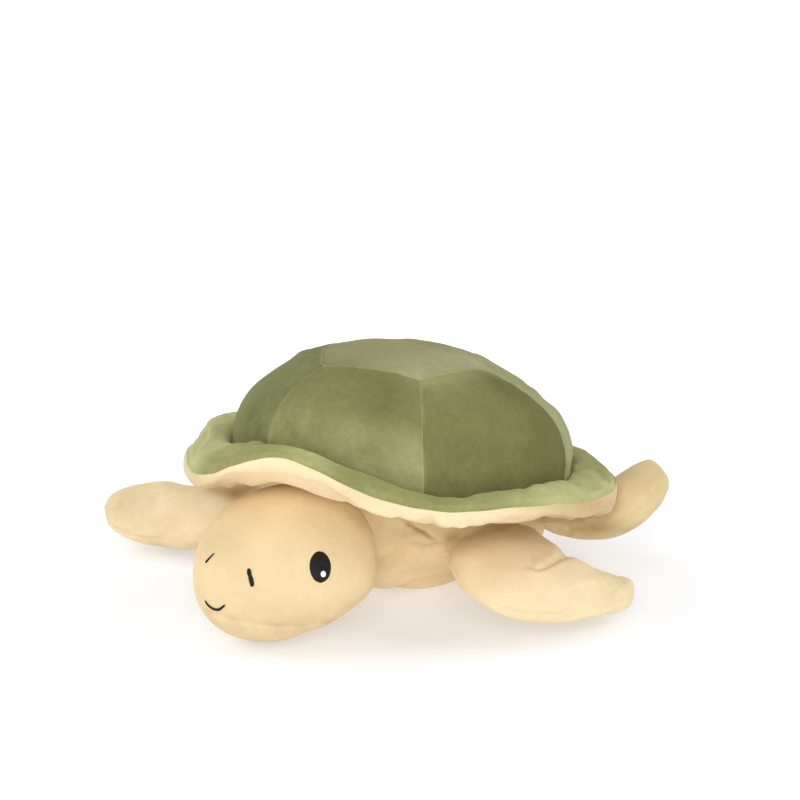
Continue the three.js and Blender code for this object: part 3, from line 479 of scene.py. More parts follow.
def up_axis(A, step, axis, wrap):
    """Cubic resampling of A along axis to step times the points."""
    A = np.moveaxis(A, axis, 0)
    n = len(A)
    m = n * step if wrap else (n - 1) * step + 1
    f = np.arange(m) / step
    i = np.floor(f).astype(int)
    if not wrap:
        i = np.minimum(i, n - 2)
    t = (f - i).reshape((-1,) + (1,) * (A.ndim - 1))
    g = (lambda k: A[k % n]) if wrap else (lambda k: A[np.clip(k, 0, n - 1)])
    a, b, c, d = g(i - 1), g(i), g(i + 1), g(i + 2)
    R = 0.5 * (2 * b + (c - a) * t + (2 * a - 5 * b + 4 * c - d) * t * t + (3 * b - a - 3 * c + d) * t ** 3)
    return np.moveaxis(R, 0, axis)


def cloth(ob, W, pressure, excess, stiff=9.0, bend=0.25, frames=20):
    """Runs the fabric of ob under pressure and gives how far each vertex went, in metres. W is how firmly each is held."""
    rest = co_of(ob)
    g = ob.vertex_groups.new(name="held")
    R = np.round(W, 2)
    for w in sorted(set(R.tolist())):
        if w > 0:
            g.add(np.nonzero(R == w)[0].tolist(), w, "REPLACE")
    m = ob.modifiers.new("sim", "CLOTH")
    s = m.settings
    s.quality = 5
    s.mass = 0.2
    s.tension_stiffness = s.compression_stiffness = stiff
    s.shear_stiffness = 4
    s.bending_stiffness = bend
    s.tension_damping = s.compression_damping = 8
    s.shear_damping = 6
    s.air_damping = 2
    s.use_pressure = True
    s.uniform_pressure_force = pressure
    s.shrink_min = -excess
    s.effector_weights.gravity = 0
    s.vertex_group_mass = "held"
    m.collision_settings.use_collision = False
    m.collision_settings.use_self_collision = False
    m.point_cache.frame_start, m.point_cache.frame_end = 1, frames
    sc = bpy.context.scene
    for f in range(1, frames + 1):
        sc.frame_set(f)
    ev = ob.evaluated_get(bpy.context.evaluated_depsgraph_get())
    got = np.empty(len(ev.data.vertices) * 3)
    ev.data.vertices.foreach_get("co", got)
    ob.modifiers.remove(m)
    ob.vertex_groups.clear()
    sc.frame_set(1)
    d = got.reshape(-1, 3) - rest
    return np.where(np.isfinite(d), d, 0)


def limit(d, cap):
    L = np.linalg.norm(d, axis=-1, keepdims=True)
    return d * np.where(L > 1e-9, np.tanh(L / cap) * cap / np.maximum(L, 1e-9), 0)


def drape(G, n, W, step, cap=5.0, pressure=4.0, excess=0.05, level=0.85, wrap_v=False, centre=(0, 0, 60), **kw):
    """Simulates a grid of fabric on every step-th point and carries the result back to the fine grid, in millimetres.
    level is the share of the average swelling that is taken off again, because the grid already has its full size."""
    if QUICK:
        return G
    iu = np.arange(0, G.shape[0], step)
    iv = np.arange(0, G.shape[1], step)
    C = G[np.ix_(iu, iv)]
    ob = make("tmp_sim", C, wrap_v=wrap_v)
    no = np.empty(len(ob.data.vertices) * 3)
    ob.data.vertices.foreach_get("normal", no)
    if (no.reshape(-1, 3) * n[np.ix_(iu, iv)].reshape(-1, 3)).sum() < 0:
        ob.data.flip_normals()
    d = cloth(ob, W[np.ix_(iu, iv)].ravel(), pressure, excess, **kw).reshape(C.shape) * 1000
    me = ob.data
    bpy.data.objects.remove(ob)
    bpy.data.meshes.remove(me)
    d = up_axis(up_axis(d, step, 0, False), step, 1, wrap_v)
    d = limit(d, cap)
    free = 1 - np.clip(W, 0, 1)
    avg = (np.sum(d * n, -1) * free).sum() / max(free.sum(), 1e-9)
    return G + d - n * (level * avg * free)[..., None]


def dist_path(P, path):
    """Distance of each point to a polyline, the share along it, and the side vector."""
    path = np.asarray(path, float)
    best = np.full(P.shape[:-1], 1e9)
    along = np.zeros(P.shape[:-1])
    side = np.zeros(P.shape)
    L = np.concatenate([[0], np.cumsum(np.linalg.norm(np.diff(path, axis=0), axis=1))])
    for i in range(len(path) - 1):
        a, b = path[i], path[i + 1]
        t = np.clip(((P - a) @ (b - a)) / max(1e-9, (b - a) @ (b - a)), 0, 1)
        q = P - (a + t[..., None] * (b - a))
        d = np.linalg.norm(q, axis=-1)
        m = d < best
        best = np.where(m, d, best)
        along = np.where(m, (L[i] + t * (L[i + 1] - L[i])) / L[-1], along)
        side = np.where(m[..., None], q, side)
    return best, along, side


def fold(P, n, path, depth, width, ridge=0.0, toward=(0, 0, 1), ridge_at=2.2):
    """A fabric fold along path: a groove, and a soft roll on the side that toward points to."""
    d, t, q = dist_path(P, path)
    fade = np.clip(np.sin(np.pi * np.clip(t * 0.9 + 0.08, 0, 1)), 0, 1) ** 0.6
    s = np.sign(q @ np.asarray(toward, float)) * d
    off = -depth * np.exp(-(d / width) ** 2) + ridge * np.exp(-((s - ridge_at * width) / (1.5 * width)) ** 2)
    off = off * fade * np.exp(-np.clip(d - 5 * width, 0, None) / width)
    return P + n * off[..., None]


def seen(G, n, places):
    """The grid's points, on the side that faces the view, under the given places in it."""
    P = G.reshape(-1, 3)
    q_, d = proj(P)
    ok = (n.reshape(-1, 3) @ BACK) > 0.05
    out = []
    for p in places:
        D = np.hypot(*(q_ - np.asarray(p, float)).T) + np.where(ok, 0, 1e3)
        out.append(P[int(np.argmin(D))])
    return out


def shade_at(G, n, spots):
    """Painted shade and light at places given by where they are seen: x, y, half width, half height, amount."""
    q_, _d = proj(G.reshape(-1, 3))
    f = smooth((n.reshape(-1, 3) @ BACK + 0.3) / 0.4)
    t_ = np.zeros(len(q_))
    for x, y, a_, b_, k in spots:
        t_ += k * np.exp(-((q_[:, 0] - x) / a_) ** 2 - ((q_[:, 1] - y) / b_) ** 2) * f
    return t_.reshape(G.shape[:2])


# ------------------------------------------------------------------ materials
def lin(c):
    return tuple(((v / 255) / 12.92 if v / 255 <= 0.04045 else (((v / 255) + 0.055) / 1.055) ** 2.4) for v in c) + (1.0,)


def velour(name, base, dark, light, sheen=0.35, patch=28.0, amount=0.5, grain=0.35, nap=0.25):
    """Short-pile velour: brushed patches, fine pile and a soft bloom at the edges."""
    mt = bpy.data.materials.new(name)
    mt.use_nodes = True
    nt = mt.node_tree
    N, Lk = nt.nodes, nt.links
    p = N["Principled BSDF"]
    p.inputs["Roughness"].default_value = 0.92
    p.inputs["Specular IOR Level"].default_value = 0.16
    p.inputs["Sheen Weight"].default_value = sheen
    p.inputs["Sheen Roughness"].default_value = 0.42
    p.inputs["Sheen Tint"].default_value = lin(light)
    tc = N.new("ShaderNodeTexCoord")
    # broad brushed patches
    mp = N.new("ShaderNodeMapping"); mp.inputs["Scale"].default_value = (1000 / patch, 1000 / patch, 700 / patch)
    Lk.new(tc.outputs["Object"], mp.inputs["Vector"])
    n1 = N.new("ShaderNodeTexNoise"); n1.inputs["Scale"].default_value = 1.0; n1.inputs["Detail"].default_value = 3.0
    n1.inputs["Roughness"].default_value = 0.55; n1.inputs["Distortion"].default_value = 0.6
    Lk.new(mp.outputs["Vector"], n1.inputs["Vector"])
    r1 = N.new("ShaderNodeMapRange"); r1.inputs["From Min"].default_value = 0.36; r1.inputs["From Max"].default_value = 0.66
    Lk.new(n1.outputs["Fac"], r1.inputs["Value"])
    # fine pile: short streaks
    mp2 = N.new("ShaderNodeMapping"); mp2.inputs["Scale"].default_value = (1250, 1250, 620)
    mp2.inputs["Rotation"].default_value = (0.35, 0.2, 0.5)
    Lk.new(tc.outputs["Object"], mp2.inputs["Vector"])
    n2 = N.new("ShaderNodeTexNoise"); n2.inputs["Scale"].default_value = 1.0; n2.inputs["Detail"].default_value = 2.0
    n2.inputs["Roughness"].default_value = 0.6
    Lk.new(mp2.outputs["Vector"], n2.inputs["Vector"])
    n3 = N.new("ShaderNodeTexNoise"); n3.inputs["Scale"].default_value = 260.0; n3.inputs["Detail"].default_value = 3.0
    Lk.new(tc.outputs["Object"], n3.inputs["Vector"])
    mixa = N.new("ShaderNodeMix"); mixa.data_type = "RGBA"
    mixa.inputs[6].default_value = lin(base); mixa.inputs[7].default_value = lin(dark)
    m1 = N.new("ShaderNodeMath"); m1.operation = "MULTIPLY"; m1.inputs[1].default_value = amount
    Lk.new(r1.outputs["Result"], m1.inputs[0]); Lk.new(m1.outputs[0], mixa.inputs[0])
    mixb = N.new("ShaderNodeMix"); mixb.data_type = "RGBA"
    mixb.inputs[7].default_value = lin(light)
    r2 = N.new("ShaderNodeMapRange"); r2.inputs["From Min"].default_value = 0.5; r2.inputs["From Max"].default_value = 0.78
    r2.inputs["To Max"].default_value = grain
    Lk.new(n2.outputs["Fac"], r2.inputs["Value"])
    Lk.new(mixa.outputs[2], mixb.inputs[6]); Lk.new(r2.outputs["Result"], mixb.inputs[0])
    mixc = N.new("ShaderNodeMix"); mixc.data_type = "RGBA"; mixc.blend_type = "MULTIPLY"
    r3 = N.new("ShaderNodeMapRange"); r3.inputs["From Min"].default_value = 0.3; r3.inputs["From Max"].default_value = 0.7
    r3.inputs["To Min"].default_value = 1 - 0.35 * nap; r3.inputs["To Max"].default_value = 1 + 0.2 * nap
    Lk.new(n3.outputs["Fac"], r3.inputs["Value"])
    # painted light and shade, with the pile's random tone, read from the mesh and multiplied by the fine pile
    at = N.new("ShaderNodeAttribute"); at.attribute_name = "tone"
    t1 = N.new("ShaderNodeMath"); t1.operation = "ADD"; t1.inputs[1].default_value = 1.0
    Lk.new(at.outputs["Fac"], t1.inputs[0])
    t2 = N.new("ShaderNodeMath"); t2.operation = "MULTIPLY"
    Lk.new(t1.outputs[0], t2.inputs[0]); Lk.new(r3.outputs["Result"], t2.inputs[1])
    cmb = N.new("ShaderNodeCombineColor")
    Lk.new(t2.outputs[0], cmb.inputs[0])
    for k, e_ in ((1, 1.03), (2, 1.4)):                 # painted shade turns warmer and painted light paler, and so do the pile's random darker and lighter spots
        pw = N.new("ShaderNodeMath"); pw.operation = "POWER"; pw.inputs[1].default_value = e_
        Lk.new(t2.outputs[0], pw.inputs[0])
        dm = N.new("ShaderNodeMath"); dm.operation = "MULTIPLY"; dm.inputs[1].default_value = 1 / 0.74   # deep painted shade is brown
        dn = N.new("ShaderNodeMath"); dn.operation = "MINIMUM"; dn.inputs[1].default_value = 1.0
        dp = N.new("ShaderNodeMath"); dp.operation = "POWER"; dp.inputs[1].default_value = (0.5, 0.8)[k - 1]
        dk = N.new("ShaderNodeMath"); dk.operation = "MULTIPLY"
        Lk.new(t2.outputs[0], dm.inputs[0]); Lk.new(dm.outputs[0], dn.inputs[0]); Lk.new(dn.outputs[0], dp.inputs[0])
        Lk.new(pw.outputs[0], dk.inputs[0]); Lk.new(dp.outputs[0], dk.inputs[1]); Lk.new(dk.outputs[0], cmb.inputs[k])
    mixc.inputs[0].default_value = 1.0
    Lk.new(mixb.outputs[2], mixc.inputs[6]); Lk.new(cmb.outputs[0], mixc.inputs[7])
    # the seam's light thread, and the painted sheen on the brim's ends, mix toward the light colour
    ln = N.new("ShaderNodeAttribute"); ln.attribute_name = "line"
    l1 = N.new("ShaderNodeMath"); l1.operation = "MULTIPLY"; l1.inputs[1].default_value = 0.42
    Lk.new(ln.outputs["Fac"], l1.inputs[0])
    mixd = N.new("ShaderNodeMix"); mixd.data_type = "RGBA"
    mixd.inputs[7].default_value = tuple(min(1.0, 1.25 * v) for v in lin(light)[:3]) + (1.0,)
    Lk.new(mixc.outputs[2], mixd.inputs[6]); Lk.new(l1.outputs[0], mixd.inputs[0])
    Lk.new(mixd.outputs[2], p.inputs["Base Color"])
    # bump: pile over soft handling marks
    b1 = N.new("ShaderNodeBump"); b1.inputs["Strength"].default_value = nap; b1.inputs["Distance"].default_value = 0.0006
    b2 = N.new("ShaderNodeBump"); b2.inputs["Strength"].default_value = nap * 0.8; b2.inputs["Distance"].default_value = 0.0007
    Lk.new(n2.outputs["Fac"], b1.inputs["Height"]); Lk.new(n3.outputs["Fac"], b2.inputs["Height"])
    Lk.new(b2.outputs["Normal"], b1.inputs["Normal"]); Lk.new(b1.outputs["Normal"], p.inputs["Normal"])
    return mt


def embroidery(name, col, hi, axis=(2600, 400, 2600), rough=0.5):
    mt = bpy.data.materials.new(name)
    mt.use_nodes = True
    nt = mt.node_tree
    N, Lk = nt.nodes, nt.links
    p = N["Principled BSDF"]
    p.inputs["Roughness"].default_value = rough
    p.inputs["Specular IOR Level"].default_value = 0.2
    p.inputs["Sheen Weight"].default_value = 0.0
    tc = N.new("ShaderNodeTexCoord")
    mp = N.new("ShaderNodeMapping"); mp.inputs["Scale"].default_value = axis
    Lk.new(tc.outputs["Object"], mp.inputs["Vector"])
    n = N.new("ShaderNodeTexNoise"); n.inputs["Scale"].default_value = 1.0; n.inputs["Detail"].default_value = 2.0
    Lk.new(mp.outputs["Vector"], n.inputs["Vector"])
    r = N.new("ShaderNodeMapRange"); r.inputs["From Min"].default_value = 0.45; r.inputs["From Max"].default_value = 0.7
    Lk.new(n.outputs["Fac"], r.inputs["Value"])
    mx = N.new("ShaderNodeMix"); mx.data_type = "RGBA"; mx.inputs[6].default_value = lin(col); mx.inputs[7].default_value = lin(hi)
    Lk.new(r.outputs["Result"], mx.inputs[0]); Lk.new(mx.outputs[2], p.inputs["Base Color"])
    b = N.new("ShaderNodeBump"); b.inputs["Strength"].default_value = 0.6; b.inputs["Distance"].default_value = 0.0004
    Lk.new(n.outputs["Fac"], b.inputs["Height"]); Lk.new(b.outputs["Normal"], p.inputs["Normal"])
    return mt


PILE = dict(sheen=0.22, patch=34, amount=0.5, grain=0.28, nap=0.22)
# each panel's green is a little lighter or darker: partly the nap lying its own way in each panel, partly painted light
# and shade
M_PANEL_A = velour("panel_a_velour", (128, 129, 84), (112, 112, 70), (158, 160, 116), **PILE)
M_PANEL_B = velour("panel_b_velour", (116, 116, 72), (104, 103, 62), (146, 147, 104), **PILE)
M_PANEL_C = velour("panel_c_velour", (140, 141, 98), (122, 122, 80), (176, 178, 138), **PILE)
M_PANEL_D = velour("panel_d_velour", (120, 122, 82), (106, 108, 70), (150, 153, 114), **PILE)
M_TOP = velour("top_velour", (132, 130, 92), (118, 116, 78), (164, 163, 128), **PILE)
M_BRIM = velour("brim_velour", (148, 148, 96), (132, 132, 80), (182, 183, 136), sheen=0.25, patch=22, amount=0.5, grain=0.3, nap=0.25)
M_CREAM = velour("cream_velour", (229, 206, 164), (222, 196, 152), (242, 226, 194), sheen=0.16, patch=46, amount=0.26, grain=0.14, nap=0.09)
M_PALE = velour("pale_velour", (231, 210, 171), (225, 201, 159), (243, 229, 200), sheen=0.16, patch=40, amount=0.26, grain=0.14, nap=0.09)
M_DARK = embroidery("dark_thread", (14, 12, 13), (40, 36, 37))
M_WHITE = embroidery("white_thread", (240, 240, 242), (255, 255, 255))
M_TAN = embroidery("tan_thread", (206, 176, 130), (236, 212, 170), axis=(900, 900, 2600), rough=0.7)


def dress(ob, mat, slot, body=None, nodes=()):
    ob.data.materials.clear()
    ob.data.materials.append(mat)
    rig.slot(ob, slot)
    if nodes:
        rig.replaces(ob, *nodes)
    if body:
        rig.ride(ob, body)
    return ob


# ------------------------------------------------------------------ shell: seven padded panels
def seam_shape(d, along, roll=0.6, groove=0.12, pucker=0.2):
    """Offset near a sewn edge: the panel rolls down to the seam, with small puckers across it."""
    off = -roll * np.exp(-(d / 6.0) ** 1.5) - groove * np.exp(-(d / 1.3) ** 2)
    rip = nz(np.stack([along, d * 0.35, along * 0], -1), 5.5, 3.0)
    return off + pucker * rip * np.exp(-((d - 3) / 6.0) ** 2)


def soft_dome(G):
    """Handling dents that run on from panel to panel."""
    return 1.0 * nz(G, 55, 1.0) + 0.30 * nz(G, 19, 2.0)


DOME_MID = np.array([0.0, 0.0, 70.0])
NU, NV = 49, 61
SIDES = ["front_left", "mid_left", "rear_left", "rear_right", "mid_right", "front_right"]
PANEL = {"front_left": "M_PANEL_A", "mid_left": "M_PANEL_B", "rear_left": "M_PANEL_C", "rear_right": "M_PANEL_A", "mid_right": "M_PANEL_B", "front_right": "M_PANEL_D"}
for i in range(6):
    v = np.linspace(0, 1, NV)
    u = np.linspace(0, 1, NU)
    U, V = np.meshgrid(u, v, indexing="ij")
    D, K = side_at(i, U, V)
    G = dome(D, K)
    n = dome_normal(D, K)
    au, av = arc(G, 0), arc(G, 1)
    dt, dl, dr = au, av, av[:, -1:] - av
    W = np.zeros((NU, NV))
    W[0] = W[-1] = 1
    W[:, 0] = W[:, -1] = 1
    off = soft_dome(G) + seam_shape(dt, av, roll=0.4) + seam_shape(dl, au) + seam_shape(dr, au)
    tone = 0.06 * nz(G, 30, 8.0)
    # painted light and shade across the panels: the front left darker at its top and lighter low down and towards its
    # second seam, the middle left lighter along its top and darker towards its second seam, the front right darker all
    # over, the rear left lighter along its first seam; the streaks are brushed pile
    if i == 0:
        tone += -0.16 * (1 - smooth((U - 0.45) / 0.35)) + 0.28 * smooth((U - 0.5) / 0.35) * smooth((V - 0.25) / 0.45) + 0.14 * smooth((V - 0.72) / 0.2)
        tone += 0.16 * np.clip(nz(np.stack([V * 60 - U * 6, U * 7, 0 * U], -1), 3.2, 8.7), 0, 1) * (1 - smooth((V - 0.18) / 0.2)) * smooth((U - 0.2) / 0.3)
    if i == 1:
        tone += 0.42 * (1 - smooth((U - 0.02) / 0.20)) + 0.06 * (1 - smooth((V - 0.1) / 0.3)) - 0.24 * smooth((V - 0.50) / 0.3)
    if i == 5:
        tone += -0.10 + 0.10 * np.clip(nz(np.stack([V * 60, U * 7, 0 * U], -1), 3.4, 8.8), 0, 1) * smooth((V - 0.55) / 0.3)
    if i == 2:
        tone += 0.16 * (1 - smooth((V - 0.05) / 0.2))
    line = np.exp(-(np.minimum(np.minimum(dl, dr), dt) / 0.42) ** 2) * np.clip(0.65 + 0.6 * nz(G, 16, 8.5), 0, 1)
    # painted shade and light at places in the view
    tone = tone + shade_at(G, n, [(376, 448, 30, 12, -0.15), (372, 412, 34, 20, -0.08), (414, 428, 12, 20, -0.07), (250, 424, 14, 26, -0.22), (450, 384, 26, 12, 0.22), (470, 455, 30, 16, -0.07), (530, 440, 16, 24, -0.08)])
    if i == 0:                                    # soft folds that fan out beside the front seam
        for (v0, v1, dep) in ((0.10, 0.06, 0.8), (0.19, 0.13, 0.7), (0.30, 0.27, 0.5)):
            off += -dep * np.exp(-((V - (v0 + (v1 - v0) * U)) / 0.022) ** 2) * smooth((U - 0.35) / 0.4)
            off += 0.6 * dep * np.exp(-((V - (v0 + (v1 - v0) * U) - 0.05) / 0.03) ** 2) * smooth((U - 0.35) / 0.4)
    G = drape(G, n, W, 3, cap=1.8, pressure=2.5, excess=0.018, level=1.0, bend=0.6)
    G = nudge(G + n * off[..., None], DOME_OUTLINE, 8)
    # turned-in seam allowance on three sides, and a skirt that goes down inside the brim
    G = np.concatenate([G[:1] - n[:1] * 4.0, G[:1] - n[:1] * 0.5, G], 0)
    n2 = np.concatenate([n[:1], n[:1], n], 0)
    G = np.concatenate([G[:, :1] - n2[:, :1] * 4.0, G[:, :1] - n2[:, :1] * 0.5, G, G[:, -1:] - n2[:, -1:] * 0.5, G[:, -1:] - n2[:, -1:] * 4.0], 1)
    tone, line = (np.pad(X, ((2, 2), (2, 2)), mode="edge") for X in (tone, line))
    sk1, sk2 = G[-1:].copy(), G[-1:].copy()
    sk1[..., 2] -= 4.0
    sk2[..., 2] -= 7.5
    sk2[..., :2] *= 0.975
    G = np.concatenate([G, sk1, sk2], 0)
    ob = make("dome_side_" + SIDES[i], G, out_from=DOME_MID)
    paint(ob, tone, line)
    subdivide(ob)
    dress(ob, globals()[PANEL[SIDES[i]]], "shell_velour", "torso", ["shell_side_" + SIDES[i]])
    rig.padded(ob, 0.8)

ND = 28
TT, KT = [], []
for i in range(6):
    th_, k_ = side_at(i, np.zeros(ND), np.linspace(0, 1, ND, endpoint=False))
    TT.append(th_)
    KT.append(k_)
TT, KT = np.concatenate(TT), np.concatenate(KT)
q = np.concatenate([np.linspace(0.05, 0.88, 24), np.linspace(0.90, 1.0, 9)])
Q, D = np.meshgrid(q, TT, indexing="ij")
G = dome(D, KT[None] * Q)
n = dome_normal(D, KT[None] * Q)
rim = np.linalg.norm(G - G[-1:], axis=-1)
al = np.concatenate([[0], np.cumsum(np.linalg.norm(np.diff(G[-1], axis=0), axis=-1))])
W = np.zeros(G.shape[:2])
W[-1] = 1
off = soft_dome(G) + seam_shape(rim, np.broadcast_to(al, rim.shape), roll=0.4)
# random tone, painted light that grows towards +x, and painted shade and light at places in the view
tone = 0.04 + 0.09 * nz(G, 30, 8.0) + 0.38 * smooth((G[..., 0] + 5) / 50)
tone = tone + shade_at(G, n, [(350, 358, 20, 8, -0.05), (400, 350, 30, 8, 0.07), (470, 362, 24, 8, 0.10)])
line = np.exp(-(rim / 0.42) ** 2) * np.clip(0.65 + 0.6 * nz(G, 16, 8.5), 0, 1)
G = drape(G, n, W, 2, cap=1.6, pressure=2.0, excess=0.012, level=1.0, wrap_v=True, bend=0.6)
G = nudge(G + n * off[..., None], DOME_OUTLINE, 8)
G = np.concatenate([G, G[-1:] - n[-1:] * 0.5, G[-1:] - n[-1:] * 4.0], 0)
ob = make("dome_top_panel", G, wrap_v=True, cap0=G[0].mean(0), out_from=DOME_MID)
paint(ob, np.pad(tone, ((0, 2), (0, 0)), mode="edge"), np.pad(line, ((0, 2), (0, 0)), mode="edge"))
subdivide(ob)
dress(ob, M_TOP, "shell_velour", "torso", ["shell_top_panel", "shell_stuffing"])
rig.padded(ob, 0.8)

# ------------------------------------------------------------------ brim: padded ring, green above, cream below
TH = np.arange(0, 360, 0.75)
UP_SECTION = [(-0.05, -5.0), (-0.03, -2.0), (0.0, 1.2), (0.05, 3.6), (0.13, 5.6), (0.24, 7.0), (0.38, 7.9), (0.52, 8.0), (0.66, 7.3), (0.78, 6.0), (0.88, 4.1), (0.95, 2.2), (0.99, 0.6), (0.985, -0.4)]
LOW_SECTION = [(0.985, 0.5), (1.0, -0.6), (1.0, -2.6), (0.985, -4.6), (0.95, -6.8), (0.89, -8.8), (0.8, -10.5), (0.68, -11.8), (0.54, -12.4), (0.38, -12.4), (0.22, -12.0), (0.08, -11.5)]


def profile(pts, n):
    p = np.array(pts, float)
    L = np.concatenate([[0], np.cumsum(np.hypot(np.diff(p[:, 0]) * 28, np.diff(p[:, 1])))])
    t = np.linspace(0, L[-1], n)
    s = np.interp(t, L, np.linspace(0, 1, len(p)))
    return catmull(p, s)


def ring_noise(deg, r, wave, seed):
    """Noise round the ring with features about wave millimetres long."""
    c = np.stack([np.cos(np.radians(deg)) * 130, np.sin(np.radians(deg)) * 130, np.broadcast_to(r, np.shape(deg))], -1)
    return nz(c, wave, seed)


up, low = profile(UP_SECTION, 34), profile(LOW_SECTION, 25)


def brim_grid(pr, lower):
    A, T = np.meshgrid(pr[:, 0], TH, indexing="ij")
    B = np.meshgrid(pr[:, 1], TH, indexing="ij")[0]
    fat = 1 + 0.12 * ring_noise(T, 0.0, 46, 5.0) + 0.07 * ring_noise(T, 0.0, 19, 6.0)
    P = brim_pt(T, A, B * fat, lower)
    edge = np.clip(A, 0, 1) ** 1.6
    # the ring's own waves: the sewn edge is tighter than the padding
    w = 0.8 * ring_noise(T, 40.0, 34, 7.0) + 0.35 * ring_noise(T, 80.0, 14, 8.0)
    P[..., 2] += w * edge
    rr = np.stack([np.sin(np.radians(T)), -np.cos(np.radians(T))], -1)
    P[..., :2] += rr * (0.7 * ring_noise(T, 120.0, 26, 9.0) * edge)[..., None]
    # inner edge creeps up and down the foot of the dome
    P[..., 2] += (1.0 * ring_noise(T, 160.0, 30, 10.0)) * (1 - np.clip(A, 0, 1)) ** 2
    return P, T, A


SEAM_EDGE = lambda A, w=0.09: np.exp(-((1 - np.clip(A, 0, 1)) / w) ** 2)
G, T, A = brim_grid(up, False)
n = out_normals(G, np.array([0, 0, 60.0]), wrap_v=True)
n = np.where(n[..., 2:3] < -0.2, -n, n)
W = np.zeros(G.shape[:2])
W[:3] = 1
W[-4:] = 1
G = drape(G, n, W, 3, cap=2.2, pressure=3.0, excess=0.025, level=1.0, wrap_v=True, bend=0.35)
rip = ring_noise(T, A * 6.0, 5.2, 11.0)
calm = smooth((1 - np.clip(A, 0, 1)) / 0.10)
G = G + n * ((0.45 * rip * SEAM_EDGE(A, 0.22) + 0.25 * rip * np.exp(-((A - 0.02) / 0.12) ** 2) + 0.5 * nz(G, 15, 12.0) + 0.18 * nz(G, 7, 12.5)) * calm)[..., None]
G = nudge(nudge(G, BRIM_OUTLINE, 8.5), CREST, 6)
G = fold(G, n, seen(G, n, [(578, 470), (587, 467), (596, 469), (603, 475), (608.3, 486)]), 1.4, 2.2, 0.7, toward=tuple(-UP))
# the brim's two ends are painted lighter (painted light) and paler (painted sheen, carried by the seam-thread
# attribute), with more painted light and shade at places in the view
TS = (T + 180) % 360 - 180
left_end = smooth((-TS - 12) / 14) * smooth((TS + 85) / 12)
right_end = smooth((TS - 72) / 18) * smooth((150 - TS) / 30)
shade = -0.08 + 0.34 * left_end + 0.40 * right_end + 0.06 * nz(G, 24, 12.7)
pale = 0.6 * left_end + 0.45 * right_end
ob = make("brim_upper", G, wrap_v=True)
shade = shade + shade_at(G, n, [(320, 455, 34, 14, 0.48), (228, 445, 12, 12, 0.20), (500, 500, 34, 9, 0.12), (572, 486, 18, 9, 0.07)])
paint(ob, shade, pale)
if np.mean([p.normal.z for p in ob.data.polygons]) < 0:
    ob.data.flip_normals()
subdivide(ob)
dress(ob, M_BRIM, "brim_velour", "torso", ["brim_upper_skin", "brim_wadding"])
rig.padded(ob, 0.7)

G, T, A = brim_grid(low, True)
reach = body_reach(TH)
rows = [G]
INNER = (0.1, 0.22, 0.36, 0.52, 0.68, 0.82, 0.93, 1.0, 1.05)
for t in INNER:
    k = 1 + (reach - 1) * t
    p = plan(TH, k, DOME_A, DOME_F, DOME_R)
    z = under(p[:, 0], p[:, 1]) - 1.0 * math.sin(math.pi * min(t, 1.0)) * (1 + ring_noise(TH, 300.0, 25, 13.0))
    if t > 1:
        z = z + 4
    rows.append(np.concatenate([p, z[:, None]], -1)[None])
G = np.concatenate(rows, 0)
n = grid_normals(G, wrap_v=True)
if n[6:20, :, 2].mean() > 0:
    n = -n
A2 = np.concatenate([A, np.zeros((len(INNER), A.shape[1]))], 0)
T2 = np.broadcast_to(TH, A2.shape)
W = np.zeros(G.shape[:2])
W[:3] = 1
W[-4:] = 1
G = drape(G, n, W, 3, cap=2.2, pressure=3.0, excess=0.02, level=1.0, wrap_v=True, bend=0.35)
rip = ring_noise(T2, A2 * 6.0 + 50, 5.2, 14.0)
G = nudge(G, BRIM_OUTLINE, 8.5)
G = G + (nudge(G, BAND_EDGE, 6.5) - G) * smooth((0.99 - A2) / 0.10)[..., None]
G[..., 2] += 5.0 * np.exp(-((G[..., 0] + 21) / 15) ** 2 - ((G[..., 1] + 88) / 15) ** 2)      # hollow over the crown, which turns past it
TS2 = (T2 + 180) % 360 - 180
band_shade = -0.20 * smooth((-TS2 - 8) / 14) * smooth((TS2 + 95) / 12) - 0.28 * smooth((TS2 - 70) / 22) * smooth((150 - TS2) / 30)
fallow = np.ones_like(A2)
fallow[-2:] = 0
calm = np.where(np.arange(A2.shape[0])[:, None] < 4, 0.0, smooth((1 - np.clip(A2, 0, 1)) / 0.10))
G = G + n * ((0.4 * rip * SEAM_EDGE(A2, 0.2) + 0.5 * nz(G, 24, 15.0) + 0.15 * nz(G, 10, 16.0)) * fallow * calm)[..., None]
ob = make("brim_underside", G, wrap_v=True)
if np.mean([p.normal.z for p in ob.data.polygons]) > 0:
    ob.data.flip_normals()
paint(ob, band_shade + shade_at(G, n, [(215, 482, 24, 10, -0.22), (360, 494, 40, 10, -0.10), (592, 506, 20, 9, -0.10), (520, 515, 30, 8, -0.04)]))
subdivide(ob)
dress(ob, M_PALE, "cream_velour", "torso", ["shell_underside"])
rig.padded(ob, 0.7)

# ------------------------------------------------------------------ body cushion
NP = 300
PHI = np.linspace(0, 2 * np.pi, NP, endpoint=False)
SOFT_PROFILE = [(0.0, 0.34), (0.03, 0.46), (0.07, 0.56), (0.13, 0.68), (0.22, 0.80), (0.34, 0.92), (0.5, 0.995), (0.72, 0.985), (0.9, 0.945), (1, 0.90)]
pr = np.array(SOFT_PROFILE)
BODY_MID = np.array([0.0, BODY_Y, 40.0])
LV = np.linspace(0.0, 1.0, 61)
LV = 0.018 + 0.982 * LV ** 1.15
PF = catmull(pr, np.interp(LV, pr[:, 0], np.linspace(0, 1, len(pr))))[:, 1]
TOPZ = under(*body_plan(PHI, 0.9).T) - 0.3


def body_rows(levels, shares):
    out = []
    for l, f in zip(levels, shares):
        xy = body_plan(PHI, f)
        out.append(np.concatenate([xy, (l * TOPZ)[:, None]], -1))
    return np.array(out)


